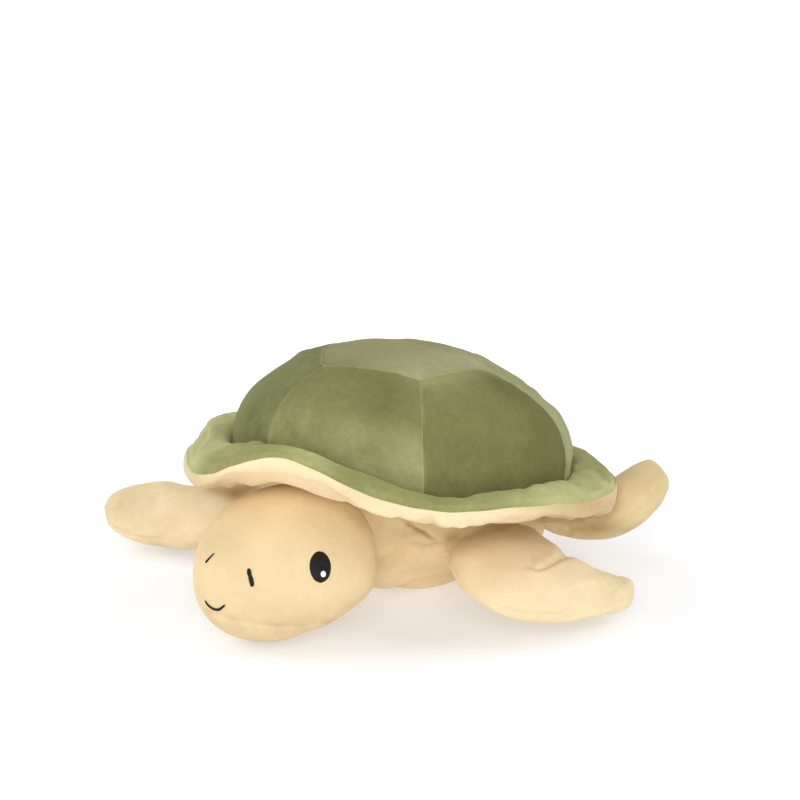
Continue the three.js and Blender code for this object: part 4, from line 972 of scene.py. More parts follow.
G = body_rows(LV, PF)
n = out_normals(G, BODY_MID, wrap_v=True)
W = np.zeros(G.shape[:2])
W[0] = W[-1] = 1
G = drape(G, n, W, 3, cap=2.5, pressure=3.0, excess=0.03, level=1.0, wrap_v=True, bend=0.4)
td = (1 - LV)[:, None] * 72 + 0 * PHI[None]
arcx = PHI[None] * 62 + 0 * LV[:, None]
G = G + n * (0.6 * nz(G, 36, 20.0) + 0.15 * nz(G, 13, 21.0)
             + 0.7 * nz(np.stack([arcx, td * 0.3, td * 0], -1), 8.0, 22.0) * np.exp(-(td / 15) ** 2)
             - 1.6 * np.exp(-(td / 4) ** 1.5))[..., None]
G[..., 1] = np.where(G[..., 1] < -43, -43 + (G[..., 1] + 43) * 0.55, G[..., 1])      # flat where the head turns past it
LOWER = [(375, 584.5, 375, 589), (397, 590, 397, 587.5), (419, 592, 419, 584.6), (437, 588.5, 437, 581.5), (453.5, 582.5, 453.5, 578), (465, 577, 465, 574), (420, 560, 420, 560), (450, 556, 450, 556)]
G = nudge(G, LOWER, 12)
G = nudge(G, [(375, 587, 375, 588), (387, 586.5, 387, 587.8), (398.5, 587.3, 398.5, 587.2), (406, 588, 406, 586.3), (417, 589.4, 417, 584.8), (427.3, 588.7, 427.3, 583), (434.6, 587.3, 434.6, 581.6),
              (441.8, 585, 441.8, 580), (454.8, 582.2, 454.8, 577.8), (465, 580, 465, 575.5), (420, 560, 420, 560), (450, 556, 450, 556), (390, 562, 390, 562)], 9)
G = nudge(G, [(402, 588, 402, 587.5), (410, 588, 410, 586), (420, 588, 420, 584.8), (430, 586.5, 430, 583), (440, 584.5, 440, 580.8), (450, 582.5, 450, 578.8), (459, 580.5, 459, 577),
              (420, 570, 420, 570), (445, 566, 445, 566), (392, 572, 392, 572)], 6)
G[..., 2] = np.maximum(G[..., 2], 0.2)
G = nudge(G, [(536.5, 528, 543.5, 533.5), (541, 526, 547, 531), (531, 527, 535, 530), (522, 518, 522, 518)], 6)
# handling folds on the side that carries the near front flipper; each fold's crease is darkened with painted shade
body_tone = -0.04 + 0.04 * nz(G, 26, 25.0)
FOLDS = (([(402.8, 521.8), (408.9, 524.2), (416.7, 528.1), (423.3, 532.6), (428.9, 535.9), (435.6, 540.3)], 1.5, 1.4, 0.8, 0.46),
         ([(407.8, 542.6), (416.7, 544.2), (426.7, 544.8), (437, 543.8), (446.7, 542)], 0.9, 2.0, 0.4, 0.18))
# painted shade on the neck under the brim
NECK_SPOTS = [(400, 535, 30, 8, -0.14)]
for places, dep, wid, rdg, dark in FOLDS:
    line_ = seen(G, n, places)
    d_, t_, _q = dist_path(G, np.array(line_))
    body_tone -= dark * np.exp(-(d_ / 1.05) ** 2) * np.clip(np.sin(np.pi * np.clip(t_ * 0.94 + 0.03, 0, 1)), 0, 1) ** 0.5
    G = fold(G, n, line_, dep, wid, rdg, toward=tuple(UP))
body_edge = G[0].copy()
inner = G[0] - n[0] * 3 + np.array([0, 0, 2.0])
tuck = G[-1].copy()
tuck[:, :2] = (tuck[:, :2] - [0, BODY_Y]) * 0.94 + [0, BODY_Y]
tuck[:, 2] += 3
G = np.concatenate([inner[None], G, tuck[None]], 0)
# painted light low on the body, painted shade under the brim and beside the near flipper's root
body_tone += shade_at(G[1:-1], n, [(415, 580, 34, 10, 0.12), (405, 534, 24, 8, -0.14), (452, 538, 9, 6, -0.30)])
ob = make("body_skin", G, wrap_v=True, out_from=BODY_MID)
paint(ob, np.pad(body_tone, ((1, 1), (0, 0)), mode="edge"))
BODY_OB = ob
subdivide(ob)
dress(ob, M_CREAM, "cream_velour", "torso", ["body_cover", "body_stuffing"])
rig.padded(ob, 0.8)

rows = []
edge_in = body_edge + (np.array([0, BODY_Y, 0]) - body_edge) * np.array([0.004, 0.004, 0])
for q, zf in ((1.02, 1.35), (1.0, 1.0), (0.985, 0.78), (0.955, 0.50), (0.90, 0.24), (0.82, 0.08), (0.72, 0.0), (0.58, 0.0), (0.42, 0.0), (0.26, 0.0), (0.1, 0.0)):
    r = edge_in.copy()
    r[:, :2] = (r[:, :2] - [0, BODY_Y]) * q + [0, BODY_Y]
    r[:, 2] = r[:, 2] * zf
    rows.append(r)
G = np.array(rows)
G[..., 2] = np.maximum(G[..., 2] + 0.15 * nz(G, 9, 24.0) * (G[..., 2] > 0.3), 0.0)
ob = make("belly", G, wrap_v=True, cap1=(0, BODY_Y, 0.0))
if np.mean([p.normal.z for p in ob.data.polygons]) > 0:
    ob.data.flip_normals()
subdivide(ob)
dress(ob, M_CREAM, "cream_velour", "torso", ["belly_panel"])
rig.padded(ob, 0.8)


def surface_of(*obs):
    """Ray test against the finished, subdivided meshes; points in millimetres."""
    from mathutils.bvhtree import BVHTree
    dg = bpy.context.evaluated_depsgraph_get()
    trees = [BVHTree.FromObject(o, dg) for o in obs]

    def hit(start, direction):
        best = None
        st = Vector((np.asarray(start, float) + SHIFT) * 0.001)
        di = Vector(direction).normalized()
        for t in trees:
            h = t.ray_cast(st, di)
            if h[0] is not None and (best is None or h[3] < best[2]):
                best = (np.array(h[0]) * 1000 - SHIFT, np.array(h[1]), h[3])
        return best
    return hit


def thread(name, path, normals, width, lift, n=8, ragged=0.0, taper=0.25, seed=1.0, thick=0.55):
    """A flat line of thread along path, resting on the fabric; width may be a number or one for each point."""
    P = np.asarray(path, float)
    k = max(12, int(np.linalg.norm(np.diff(P, axis=0), axis=1).sum() / 0.45))
    s = np.linspace(0, 1, k)
    C = catmull(P, s)
    N = catmull(np.asarray(normals, float), s)
    N /= np.linalg.norm(N, axis=1, keepdims=True)
    t = np.gradient(C, axis=0)
    t /= np.linalg.norm(t, axis=1, keepdims=True)
    side = np.cross(t, N)
    side /= np.linalg.norm(side, axis=1, keepdims=True)
    w = catmull(np.asarray(width, float)[:, None], s)[:, 0] if np.ndim(width) else np.full(k, float(width))
    end = np.clip(np.minimum(s, 1 - s) * k * 0.45 / 1.4, 0, 1) ** 0.5
    w = w * (taper + (1 - taper) * end)
    G = []
    for j in range(n):
        q = 2 * math.pi * j / n
        jit = 1 + ragged * nz(C * 1.0 + [0, 0, j * 3.1], 1.3, seed + j)
        G.append(C + side * (w / 2 * math.cos(q) * jit)[:, None] + N * (lift + thick * (0.35 + 0.65 * end) * math.sin(q) * (1 if math.sin(q) > 0 else 0.6))[:, None])
    G = np.stack(G, 1)
    return G, C[0], C[-1]


# ladder of slanted closing stitches at the back of the body
hit = surface_of(BODY_OB)
V, F = [], []
st = []
for i, x in enumerate(np.arange(-18, 18.1, 3.6)):
    a_, b_ = (x - 0.9, 18.6), (x + 0.9, 21.4)
    pts, nos = [], []
    for t in (0, 0.33, 0.66, 1):
        px, pz = a_[0] + (b_[0] - a_[0]) * t, a_[1] + (b_[1] - a_[1]) * t
        h = hit((px, 140, pz), (0, -1, 0))
        if h is not None:
            pts.append(h[0]); nos.append(h[1])
    if len(pts) == 4:
        st.append(thread("st", pts, nos, 0.9, 0.15, taper=0.5))
parent = None
for i, (G, c0, c1) in enumerate(st):
    o = make("closing_stitch_%02d" % i, G, wrap_v=True, cap0=c0, cap1=c1, out_from=G.reshape(-1, 3).mean(0))
    dress(o, M_TAN, "sewing_thread", "torso", ["closing_stitches"])

# ------------------------------------------------------------------ head
def cube_sphere(N):
    """Unit directions on an even grid of six patches, with the shared edges joined."""
    t = np.tan(np.linspace(-math.pi / 4, math.pi / 4, N + 1))
    key, V, F = {}, [], []
    def vid(p):
        p = np.asarray(p, float)
        k = tuple(np.round(p, 7))
        if k not in key:
            key[k] = len(V)
            V.append(p / np.linalg.norm(p))
        return key[k]
    for ax in range(3):
        for sg in (-1, 1):
            for i in range(N):
                for j in range(N):
                    q = []
                    for (u, v) in ((i, j), (i + 1, j), (i + 1, j + 1), (i, j + 1)):
                        p = [0, 0, 0]
                        p[ax], p[(ax + 1) % 3], p[(ax + 2) % 3] = sg, t[u], t[v]
                        q.append(vid(p))
                    F.append(q if sg > 0 else q[::-1])
    return np.array(V), F


def egg(d):
    """Point of the head for unit directions, in the head's own frame."""
    f = 1 - TAPER * (-d[..., 1])
    return np.stack([HEAD_R[0] * f * d[..., 0], HEAD_R[1] * d[..., 1], HEAD_R[2] * f * d[..., 2]], -1)


def vert_normals(ob):
    v = np.empty(len(ob.data.vertices) * 3)
    ob.data.vertices.foreach_get("normal", v)
    return v.reshape(-1, 3)


def bake(ob):
    """Applies the modifiers that are on ob."""
    dg = bpy.context.evaluated_depsgraph_get()
    me = bpy.data.meshes.new_from_object(ob.evaluated_get(dg), depsgraph=dg)
    old = ob.data
    ob.modifiers.clear()
    ob.data = me
    bpy.data.meshes.remove(old)
    for p in me.polygons:
        p.use_smooth = True
    return ob


CHIN_N = np.array([0, 0.55, 1.0]); CHIN_N /= np.linalg.norm(CHIN_N)
CHIN_D = CHIN_N @ np.array([0, -56.0, 4.4])
DV, DF = cube_sphere(26)
me = bpy.data.meshes.new("head_skin")
me.from_pydata([tuple((q + SHIFT) * 0.001) for q in head_out(egg(DV))], [], DF)
me.update()
head = bpy.data.objects.new("head_skin", me)
bpy.context.scene.collection.objects.link(head)
cn = np.array([p.normal for p in me.polygons]); cc = np.array([p.center for p in me.polygons]) - (HEAD_C + SHIFT) * 0.001
if (cn * cc).sum() < 0:
    me.flip_normals()
if not QUICK:
    L = egg(DV)
    chin_d = np.abs(L @ CHIN_N - CHIN_D)
    W = np.where(chin_d < 2.0, 0.9, 0.0)
    W = np.where(L[:, 1] > 42, 1.0, W)
    rest = co_of(head)
    d = limit(cloth(head, W, 2.5, 0.012, stiff=14, bend=1.2) * 1000, 2.5)
    nn = vert_normals(head)
    free = 1 - W
    avg = ((d * nn).sum(-1) * free).sum() / free.sum()
    set_co(head, rest + (d - nn * (avg * free)[:, None]) * 0.001)
subdivide(head)
bake(head)
P = co_of(head) * 1000 - SHIFT
P = nudge(P, [(226, 514.6, 219, 510), (209, 543.5, 201, 543.5), (197.3, 575, 194.3, 575), (204, 611.7, 202, 611), (213, 622, 214, 621), (222, 630, 225, 628.5), (232, 637, 233.5, 635), (256, 642, 256, 640),
              (309, 639, 309, 634.5), (340, 622, 342, 620), (366.6, 588, 372, 588), (376, 549, 376, 549), (346, 505, 346, 503), (288, 482, 288, 480), (252, 490, 250, 486.5), (316, 486, 316, 484),
              (290, 560, 290, 560), (330, 590, 330, 590), (240, 570, 240, 570)], 16)
P[:, 2] = np.maximum(P[:, 2], 0.3)
set_co(head, (P + SHIFT) * 0.001)
L = (P - HEAD_C) @ HEAD_M          # back in the head's frame
nn = vert_normals(head)
sd = L @ CHIN_N - CHIN_D
along = np.arctan2(L[:, 0], -L[:, 1]) * 45
front = np.clip((-L[:, 1] + 10) / 30, 0, 1)
pk = nz(np.stack([along, sd * 0.4, sd * 0], -1), 7.0, 30.0)
pp_, _d = proj(P)
calm = 1 - 0.85 * np.exp(-((pp_[:, 0] - 196) ** 2 + (pp_[:, 1] - 596) ** 2) / (2 * 13.0 ** 2))
off = calm * (-0.5 * np.clip(0.75 + 0.7 * pk, 0.1, 1.3) * np.exp(-(sd / 1.5) ** 2) + 0.40 * pk * np.exp(-(sd / 5.0) ** 2) + 0.15 * np.exp(-((sd - 5) / 4) ** 2))
# painted shade in the chin seam's crease and painted light on the roll beside it, with a random pucker tone below
chin_tone = (-0.07 * np.clip(0.7 + 0.9 * pk, 0, 1.4) * np.exp(-((sd + 0.3) / 1.3) ** 2) + 0.05 * np.exp(-((sd + 2.6) / 1.4) ** 2)) * calm - 0.05 * pk * np.exp(-((sd + 3) / 5.0) ** 2)
off = off + 0.30 * nz(P, 45, 31.0) + 0.35 * nz(P, 12, 32.0) * (sd < 0) * np.clip(-sd / 4, 0, 1)
set_co(head, (P + nn * off[:, None] + SHIFT) * 0.001)
# painted light on the crown under the brim and a little at the left, painted shade on the left and low on the head
paint(head, -0.07 + chin_tone + 0.04 * nz(P, 22, 33.0) + shade_at(P[None], nn[None], [(218, 545, 26, 40, -0.10), (292, 497, 60, 14, 0.22), (262, 620, 70, 22, -0.08), (216, 580, 20, 20, 0.05)])[0])
subdivide(head)
dress(head, M_CREAM, "cream_velour", None, ["head_cover", "chin_panel", "head_stuffing"])
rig.padded(head, 0.9)
bpy.context.view_layer.update()
hit_head = surface_of(head)


def on_head(p, h=0.0):
    d = HEAD_M @ (np.asarray(p, float) / np.linalg.norm(p))
    r = hit_head(HEAD_C + d * 120, -d)
    return r[0] + r[1] * h, r[1]


def seen_on_head(x, y, h=0.0):
    """Place on the head that is seen at x, y, lifted by h, and the fabric's normal there."""
    r = hit_head(EYE_POINT, ray(x, y))
    return r[0] + r[1] * h, r[1]


def eye_patch(name, at, half, lean, lift, swell, mat, slot, node, mirror=False, nr=9, nq=44, seed=1.0):
    """Satin-stitched oval: at and half are its middle and half size in the view; the far one is its mirror image on the head."""
    cl, sl = math.cos(lean), math.sin(lean)

    def place(x, y, h):
        p, n_ = seen_on_head(x, y, h)
        if not mirror:
            return p
        q_ = (p - n_ * h - HEAD_C) @ HEAD_M
        return on_head([-q_[0], q_[1] + 9.5, q_[2] - 3.0], h)[0]

    G = np.zeros((nr + 1, nq, 3))
    for j in range(nq):
        q = 2 * math.pi * j / nq
        jit = 1 + 0.022 * float(nz(np.array([[math.cos(q) * 6, math.sin(q) * 6, seed]]), 1.0, seed)[0])
        for i in range(nr + 1):
            r = 0.06 + 0.94 * min(i, nr - 1) / (nr - 1)
            a_, b_ = half[0] * r * math.cos(q) * jit, half[1] * r * math.sin(q) * jit
            h = lift + swell * math.sqrt(max(0.0, 1 - r * r)) if i < nr else -0.5
            G[i, j] = place(at[0] + a_ * cl - b_ * sl, at[1] + a_ * sl + b_ * cl, h)
    c0 = place(at[0], at[1], lift + swell)
    ob = make(name, G, wrap_v=True, cap0=c0, out_from=HEAD_C + (c0 - HEAD_C) * 0.8)
    subdivide(ob)
    dress(ob, mat, slot, "head", [node])
    return ob


for side in ("left", "right"):
    eye_patch("eye_patch_" + side, (320.2, 567), (10.8, 16), -0.05, 0.3, 0.9, M_DARK, "dark_embroidery", "eye_" + side, side == "right", seed=2.0)
    eye_patch("eye_glint_" + side, (322.6, 574), (2.9, 3.5), 0.0, 1.05, 0.35, M_WHITE, "white_embroidery", "eye_highlight_" + side, side == "right", nr=5, nq=24, seed=5.0)


def face_stroke(name, places, width, node, ragged=0.12, seed=1.0, lift=0.25, taper=0.3):
    C = catmull(np.asarray(places, float), np.linspace(0, 1, 9))
    H = [seen_on_head(p[0], p[1]) for p in C]
    G, c0, c1 = thread(name, [h[0] for h in H], [h[1] for h in H], width, lift, n=10, ragged=ragged, taper=taper, seed=seed)
    ob = make(name, G, wrap_v=True, cap0=c0, cap1=c1)
    bpy.context.view_layer.update()
    cen = np.array([p.center for p in ob.data.polygons]); no = np.array([p.normal for p in ob.data.polygons])
    if ((cen - cen.mean(0)) * no).sum() < 0:
        ob.data.flip_normals()
    subdivide(ob)
    dress(ob, M_DARK, "dark_embroidery", "head", [node])
    return ob


face_stroke("nostril_stitch_left", [(248.6, 568.6), (250.3, 577), (252.6, 586.6)], [2.4, 2.7, 2.8, 2.7, 2.4], "nostril_left", ragged=0.3, seed=4.0, taper=0.6)
face_stroke("nostril_stitch_right", [(205.8, 562.8), (209.6, 558.4), (214.6, 553.2)], [2.0, 1.7, 1.3, 1.0, 0.7], "nostril_right", ragged=0.2, seed=3.0)
face_stroke("smile_stitch", [(205.6, 600.4), (207.4, 603.8), (210.4, 606.8), (214, 608.9), (217.6, 609.6), (220.6, 608.6), (223.2, 606.6), (225.4, 604.6)], [1.2, 1.6, 1.8, 1.6, 0.9], "mouth_stitch", ragged=0.15, seed=6.0)
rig.ride(head, "head")

# ------------------------------------------------------------------ neck sleeve
QN = np.linspace(0, 2 * np.pi, 96, endpoint=False)
rows = []
for t in np.linspace(0, 1, 31):
    y = -26 - 58 * t
    fat = 1 + 0.05 * math.sin(math.pi * t)
    flare = max(0.0, (min(y, -40) + 62) / 26) ** 2.0
    inside = 1 - 0.30 * float(smooth((y + 41) / 15))       # the gathered end that is sewn in behind the body's skin
    tall = np.where(np.sin(QN) < 0, 23.5 * fat + 9.0 * flare, 23.5 * fat)
    wide = 29.5 * fat + 10.5 * flare * (1 - 0.45 * np.clip(np.sin(QN), 0, 1))
    rows.append(np.stack([4 + wide * inside * np.cos(QN), np.full_like(QN, y), 57 + tall * inside * np.sin(QN)], -1))
G = np.array(rows)
n = out_normals(G, np.array([4, -60, 57.0]), wrap_v=True)
W = np.zeros(G.shape[:2])
W[:4] = W[-4:] = 1
G = drape(G, n, W, 3, cap=3.0, pressure=3.0, excess=0.06, level=1.0, wrap_v=True)
G = G + n * ((0.7 * nz(np.stack([QN * 27 + 0 * G[..., 1], G[..., 1] * 0.5, 0 * G[..., 1]], -1), 9.0, 40.0) + 0.3 * nz(G, 14, 41.0)) * (1 - 0.8 * smooth((G[..., 1] + 60) / 14)))[..., None]
neck_tone = -0.04 + 0.03 * nz(G, 24, 42.0)
# painted shade along the body's fold creases where they run on over the sleeve
for places, dep, wid, rdg, dark in FOLDS:
    line_ = seen(G, n, places)
    d_, t_, _q = dist_path(G, np.array(line_))
    neck_tone -= dark * np.exp(-(d_ / 1.05) ** 2) * np.clip(np.sin(np.pi * np.clip(t_ * 0.94 + 0.03, 0, 1)), 0, 1) ** 0.5
ob = make("neck_sleeve", G, wrap_v=True, out_from=(4, -60, 57))
paint(ob, neck_tone + shade_at(G, n, NECK_SPOTS))
subdivide(ob)
dress(ob, M_CREAM, "cream_velour", None, ["neck_cover", "neck_stuffing"])
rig.padded(ob, 0.7)
mm = lambda p: tuple((np.asarray(p, float) + SHIFT) * 0.001)
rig.blend(ob, "torso", "neck", mm((4, -50, 57)), mm((4, -70, 57)))

# ------------------------------------------------------------------ flippers
FRONT_L = [[60.5, -27, 43, 66.5, 36, 43, 5], [75.4, -40.9, 41.7, 70.3, 41.1, 40.7, 9.4], [94.9, -50.9, 35.8, 80.7, 39.4, 35.5, 13.7],
           [117.4, -52.2, 28.7, 93.2, 40, 30.5, 14.9], [135.9, -36.7, 24.1, 103.4, 38.7, 27.7, 14], [144.6, -7.6, 19.3, 112.1, 43.4, 23.2, 12],
           [148.7, 20.4, 17.5, 121, 47.6, 18.5, 10.7], [148.9, 34.2, 17.4, 126.3, 52.8, 16.6, 9.5], [145.9, 43.8, 17.1, 128.7, 56.9, 16.2, 7]]
FRONT_R = [[55.5, -36, 43, 66.5, 32, 43, 5], [75.6, -53.4, 38.2, 75.9, 23.8, 41.5, 9.5], [101.2, -61.9, 27.1, 95.8, 11.5, 38.7, 13.1],
           [130.8, -69.5, 17.4, 120, -1.9, 34.8, 14.2], [154.6, -76.5, 14.5, 141.4, -11.2, 32.3, 13.4], [172.7, -81.2, 15.7, 161.2, -21, 31.1, 11.5],
           [186.7, -80.7, 19.2, 179.8, -27, 32.7, 10.5], [196.8, -75.5, 22.9, 192.2, -41.3, 31.6, 9.3], [202.7, -68.3, 26.5, 200.4, -52, 30.1, 6.1]]
REAR = [[46.5, 80, 33, 14, 94, 33, 5], [59, 87.1, 31.3, 27.3, 104.9, 31.2, 9.4], [72, 90.8, 32, 38.5, 118.2, 32.6, 12.5], [87, 97.2, 35.5, 51.1, 130.6, 37.7, 14.7],
        [97.7, 106.1, 43.9, 63.3, 138.7, 47.1, 15.6], [103.6, 118, 52.7, 70.9, 146, 55.1, 14.3], [102.8, 131.1, 59.1, 76.7, 152, 60.9, 10.8], [98.2, 141, 63, 84.9, 150.8, 64, 4.6]]


TIP_ARC = (9, 18, 27, 36, 45, 53, 61, 68, 75, 81, 86)


def flipper(name, rows_, mirror, tip_more, seed, scallop=0.6, reach_in=7.0):
    st = np.array(rows_, float)
    if mirror:
        st[:, 0] *= -1
        st[:, 3] *= -1
    NS, NQ = 73, 96
    mid_ = (st[:, :3] + st[:, 3:6]) / 2
    tipdir = (mid_[-1] - mid_[-2]) / np.linalg.norm(mid_[-1] - mid_[-2])
    tiplen = np.linalg.norm(mid_[-1] - mid_[-2]) + tip_more
    s = np.linspace(0, 1, NS)
    R = catmull(st[:-1], s)
    C = (R[:, :3] + R[:, 3:6]) / 2
    Wd = (R[:, :3] - R[:, 3:6]) / 2
    half = np.linalg.norm(Wd, axis=1)
    t = np.gradient(C, axis=0)
    t /= np.linalg.norm(t, axis=1, keepdims=True)
    N = np.cross(Wd, t)
    N *= np.sign(N[:, 2:3])
    N /= np.linalg.norm(N, axis=1, keepdims=True)
    q = np.linspace(0, 2 * np.pi, NQ, endpoint=False)
    cq, sq = np.cos(q), np.sin(q)
    G = C[:, None] + Wd[:, None] * spow(cq, 0.95)[None, :, None] + N[:, None] * (R[:, 6:7] * spow(sq, 1.02)[None])[..., None]
    # rounded tip: a few closing rings beyond the last one
    tip = []
    run = G[-1] - G[-5]
    run = run / np.maximum(np.linalg.norm(run, axis=1, keepdims=True), 1e-9) * tiplen - tipdir * tiplen
    for a_ in TIP_ARC:
        sa, ca = math.sin(rad(a_)), math.cos(rad(a_))
        tip.append(C[-1] + tipdir * tiplen * sa + (G[-1] - C[-1]) * ca ** 0.92 + 0.8 * run * sa * ca * ca)
    # root rings that go in under the body's skin
    root = [G[0] + (C[0] - G[0]) * 0.0 - t[0] * d_ + N[0] * 0 for d_ in (reach_in, reach_in * 0.66, reach_in * 0.33)]
    G = np.concatenate([np.array(root), G, np.array(tip)], 0)
    m = G.shape[0]
    axis_pts = np.concatenate([np.repeat(C[:1], 3, 0) - t[0] * np.array([[7], [4.6], [2.3]]), C, np.repeat(C[-1:], len(TIP_ARC), 0)], 0)
    n = grid_normals(G, wrap_v=True)
    n *= np.sign((n * (G - axis_pts[:, None])).sum(-1).mean()) or 1
    W = np.zeros(G.shape[:2])
    W[:5] = 1
    W[-6:] = 0.8
    W[:, 0] = W[:, NQ // 2] = 0.9
    pad = (3 - (m - 1) % 3) % 3
    if pad:                                            # rows are a multiple of the step
        G, n, W = (np.concatenate([X[:1]] * pad + [X], 0) for X in (G, n, W))
        G[:pad] = G[pad] - t[0] * np.arange(pad, 0, -1)[:, None, None] * 1.5
    soft = drape(G, n, W, 3, cap=2.2, pressure=3.0, excess=0.022, level=1.0, wrap_v=True, bend=0.4)
    from_end = np.arange(G.shape[0])[::-1][:, None, None]
    G = G + (soft - G) * smooth((from_end - 6) / 14)    # the tip keeps its round shape
    u = np.linspace(0, 1, G.shape[0])
    # distance to the edge seam, measured round each ring
    ring = np.linalg.norm(np.diff(np.concatenate([G, G[:, :1]], 1), axis=1), axis=-1)
    cum = np.concatenate([np.zeros((G.shape[0], 1)), np.cumsum(ring, 1)], 1)
    tot = cum[:, -1:]
    pos = cum[:, :-1]
    mid = cum[:, NQ // 2:NQ // 2 + 1]
    d_lead = np.minimum(pos, tot - pos)
    d_trail = np.abs(pos - mid)
    dd = np.minimum(d_lead, d_trail)
    arcs = np.concatenate([[0], np.cumsum(np.linalg.norm(np.diff(G.mean(1), axis=0), axis=1))])[:, None] + 0 * dd
    lead = (d_lead < d_trail) * 1.0
    rp = nz(np.stack([arcs + 200 * lead, dd * 0.35, dd * 0], -1), 5.5, seed)
    fade = np.clip((u - 0.05) / 0.08, 0, 1)[:, None]
    total = float(arcs.max())
    calm = smooth((total - arcs - 4.0) / 12.0)          # nothing stands out at the rounded tip
    off = (-0.9 * np.exp(-(dd / 1.5) ** 2) * (0.25 + 0.75 * calm) + (0.38 * rp * np.exp(-((dd - 2.5) / 5.0) ** 2) + 0.35 * np.exp(-((dd - 6) / 4) ** 2)) * calm) * fade
    off += (0.5 * nz(G, 32, seed + 1) + 0.14 * nz(G, 12, seed + 2)) * (0.3 + 0.7 * calm)
    side = np.concatenate([np.repeat(Wd[:1], G.shape[0] - NS - len(TIP_ARC), 0), Wd, np.repeat(Wd[-1:], len(TIP_ARC), 0)], 0)
    side = side / np.linalg.norm(side, axis=1, keepdims=True)
    wave = scallop * np.cos(arcs * 2 * math.pi / 17.0 + seed) * np.exp(-(d_trail / 7) ** 2) * fade * calm
    G = G + n * off[..., None] + side[:, None] * wave[..., None]
    # root wrinkles: the sewn end is gathered
    rw = nz(np.stack([pos, arcs * 0.25, arcs * 0], -1), 6.5, seed + 3) * np.exp(-(np.clip(arcs - 6, 0, None) / 13) ** 2)
    G = G + n * (0.7 * rw * np.clip((arcs - 2) / 6, 0, 1))[..., None]
    return G, n, C, t


for name, st, mirror, tip_more, seed in (("front_flipper_left", FRONT_L, False, 3.8, 50.0), ("front_flipper_right", FRONT_R, True, 0.5, 60.0),
                                         ("rear_flipper_left", REAR, False, -1.0, 70.0), ("rear_flipper_right", REAR, True, -1.0, 80.0)):
    body = name
    G, n, C, t = flipper(name, st, mirror, tip_more, seed)
    if name == "front_flipper_left":
        # the notch in the trailing edge and the dart that runs down from it
        G = nudge(G, [(565, 553, 565, 557.5), (553, 543, 553, 542.5), (575, 558, 575, 557), (600, 571.8, 600, 570.5), (607, 574.3, 607, 572.5), (616, 574.6, 616, 573.4), (624, 574, 624, 575.2), (558, 549.5, 559, 547.8), (541, 537, 541, 537), (586, 563, 586, 561.5)], 5)
        G = nudge(G, [(507, 620, 506, 618), (490, 613, 491, 610.5), (478, 603, 480, 601), (520, 600, 520, 600), (500, 590, 500, 590)], 8)
        G = fold(G, n, seen(G, n, [(566, 557), (556, 561), (546, 565), (540, 568), (535, 566), (531, 562), (528, 557)]), 2.8, 1.9, 0.9, toward=tuple(-UP + RIGHT * 0.5))
        G = fold(G, n, seen(G, n, [(520, 566), (529, 566), (536, 568)]), 0.8, 1.6, 0.3, toward=tuple(-UP))
    if name == "front_flipper_right":
        G = nudge(G, [(196, 488.5, 196, 486.5), (206, 489, 206, 485), (221, 489.5, 221, 483), (238, 489.5, 238, 481.5), (252, 490, 252, 481.5), (263, 486, 263, 480.5), (274, 485, 274, 478.5), (284, 485, 284, 478.5), (180, 486, 180, 486), (165, 483, 165, 483.5), (200, 510, 200, 510), (230, 512, 230, 512)], 9)
    if name == "rear_flipper_left":
        G = nudge(G, [(623, 473.3, 623, 474.5), (637, 465, 637.5, 466), (653.3, 457.3, 651, 459.8), (660.7, 459.3, 658.3, 461.8), (666.7, 468.3, 665.2, 469.5), (671.7, 485, 669.8, 484.5),
                      (670, 493.3, 667.8, 492.3), (656.7, 510, 655, 509), (640, 488, 640, 488)], 10)
        G = fold(G, n, seen(G, n, [(574, 518), (590, 523), (604, 521)]), 1.2, 2.2, 0.5, toward=tuple(-UP))
    hue = 0.04 * nz(G, 26, seed + 5)
    if name == "front_flipper_right":                 # painted shade under the brim
        hue += -0.08 + shade_at(G, n, [(214, 489, 14, 7, -0.30), (236, 493, 15, 10, -0.46), (254, 487, 12, 7, -0.30), (118, 505, 22, 24, -0.10)])
    # painted light and shade on the near front flipper
    if name == "front_flipper_left":
        hue += shade_at(G, n, [(520, 578, 26, 12, 0.08), (540, 606, 40, 12, -0.05), (612, 590, 24, 20, -0.12), (470, 562, 16, 16, 0.16), (500, 546, 18, 8, 0.14)])
    # the rear flipper is painted darker all over, with more painted shade low on it and at its tip
    if name == "rear_flipper_left":
        hue += -0.14 + shade_at(G, n, [(596, 528, 24, 10, -0.18), (640, 530, 26, 7, -0.14), (656, 480, 16, 24, -0.09)])
    ob = make(name, G, wrap_v=True, cap0=G[0].mean(0), cap1=G[-1].mean(0))
    paint(ob, hue)
    cen = np.array([p.center for p in ob.data.polygons]); no = np.array([p.normal for p in ob.data.polygons])
    ax = (C[np.argmin(((cen[:, None] * 1000 - SHIFT - C[None, ::4]) ** 2).sum(-1), 1) * 4] + SHIFT) * 0.001
    if ((cen - ax) * no).sum() < 0:
        ob.data.flip_normals()
    subdivide(ob)
    dress(ob, M_PALE if name.startswith("front") else M_CREAM, "cream_velour", None, [name + k for k in ("_top_panel", "_bottom_panel", "_stuffing")])
    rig.padded(ob, 0.8)
    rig.blend(ob, "torso", body, mm(C[0] - t[0] * 1.0), mm(C[0] + t[0] * 16.0))

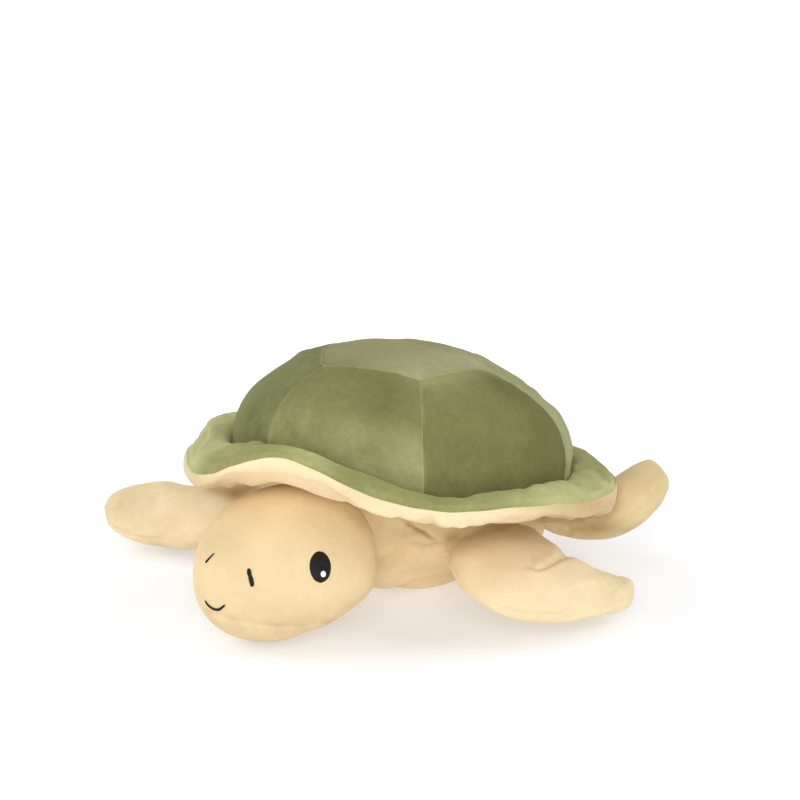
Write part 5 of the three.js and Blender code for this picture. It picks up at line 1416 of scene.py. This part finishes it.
# ------------------------------------------------------------------ floor, light and camera
fm = bpy.data.materials.new("pale_floor")
fm.use_nodes = True
fp = fm.node_tree.nodes["Principled BSDF"]
fp.inputs["Base Color"].default_value = (0.62, 0.63, 0.655, 1)
fp.inputs["Roughness"].default_value = 0.9
fp.inputs["Specular IOR Level"].default_value = 0.1
fp.inputs["Emission Color"].default_value = (1, 1, 1, 1)
fn, fl_ = fm.node_tree.nodes, fm.node_tree.links
ft = fn.new("ShaderNodeTexCoord")
fv = fn.new("ShaderNodeVectorMath"); fv.operation = "LENGTH"
fl_.new(ft.outputs["Object"], fv.inputs[0])
fr_ = fn.new("ShaderNodeMapRange")
fr_.inputs["From Min"].default_value = 0.16; fr_.inputs["From Max"].default_value = 0.95
fr_.inputs["To Min"].default_value = 0.38; fr_.inputs["To Max"].default_value = 0.86
fl_.new(fv.outputs["Value"], fr_.inputs["Value"])
fl_.new(fr_.outputs["Result"], fp.inputs["Emission Strength"])
bpy.ops.mesh.primitive_plane_add(size=24, location=(0, 0, 0))
floor = bpy.context.active_object
floor.name = "floor"
floor.data.materials.append(fm)
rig.stage(floor)

w = bpy.data.worlds.new("soft_world")
bpy.context.scene.world = w
w.use_nodes = True
wn, wl = w.node_tree.nodes, w.node_tree.links
wc = wn.new("ShaderNodeTexCoord")
ws = wn.new("ShaderNodeSeparateXYZ")
wl.new(wc.outputs["Generated"], ws.inputs[0])
wr = wn.new("ShaderNodeMapRange")                      # bright round the sides, dimmer overhead
wr.inputs["From Min"].default_value = 0.1
wr.inputs["From Max"].default_value = 0.9
wr.inputs["To Min"].default_value = 0.42
wr.inputs["To Max"].default_value = 0.26
wl.new(ws.outputs["Z"], wr.inputs["Value"])
wn["Background"].inputs["Color"].default_value = (1, 1, 1, 1)
wl.new(wr.outputs["Result"], wn["Background"].inputs["Strength"])


def soft_light(name, az, el, dist, size, power, target=(0.02, 0.0, 0.06)):
    a_, e_ = rad(az), rad(el)
    b_ = Vector((math.sin(a_) * math.cos(e_), -math.cos(a_) * math.cos(e_), math.sin(e_)))
    ld = bpy.data.lights.new(name, "AREA")
    ld.shape = "SQUARE"
    ld.size = size
    ld.energy = power
    lo = bpy.data.objects.new(name, ld)
    lo.location = Vector(target) + b_ * dist
    lo.rotation_mode = "QUATERNION"
    lo.rotation_quaternion = (-b_).to_track_quat("-Z", "Y")
    bpy.context.scene.collection.objects.link(lo)
    return lo


soft_light("light_right", 43 + 80, 30, 1.6, 0.9, 7.5)
soft_light("light_left", 43 - 80, 30, 1.6, 0.9, 9.5)
soft_light("light_front", 43 + 6, 10, 2.2, 1.0, 11)
soft_light("light_front_high", 43 - 4, 27, 2.2, 0.9, 14)
soft_light("light_rear_right", 43 + 125, 38, 1.6, 0.8, 4)
soft_light("light_rear_left", 43 - 125, 38, 1.6, 0.8, 5)
soft_light("light_top", 43, 80, 1.6, 1.2, 4)

a_, e_ = rad(43.0), rad(15.0)
back = Vector((math.sin(a_) * math.cos(e_), -math.cos(a_) * math.cos(e_), math.sin(e_)))
right = Vector((math.cos(a_), math.sin(a_), 0))
upv = back.cross(right)
cd = bpy.data.cameras.new("camera")
cd.sensor_width = 36
cd.lens = 2430 / 800 * 36
cam = bpy.data.objects.new("camera", cd)
M = Matrix((right, upv, back)).transposed().to_4x4()
M.translation = Vector((0, 0, 0.060)) + back * 1.5 - right * 0.0025 + upv * 0.0575 + Vector(SHIFT * 0.001)
cam.matrix_world = M
bpy.context.scene.collection.objects.link(cam)
bpy.context.scene.camera = cam
bpy.context.scene.view_settings.view_transform = "Standard"

vis = [[float(c) for c in p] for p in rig.bounds()]
with open("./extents.json", "w") as f:
    json.dump({"cad_box": CAD_BOX, "visual_box": vis}, f)
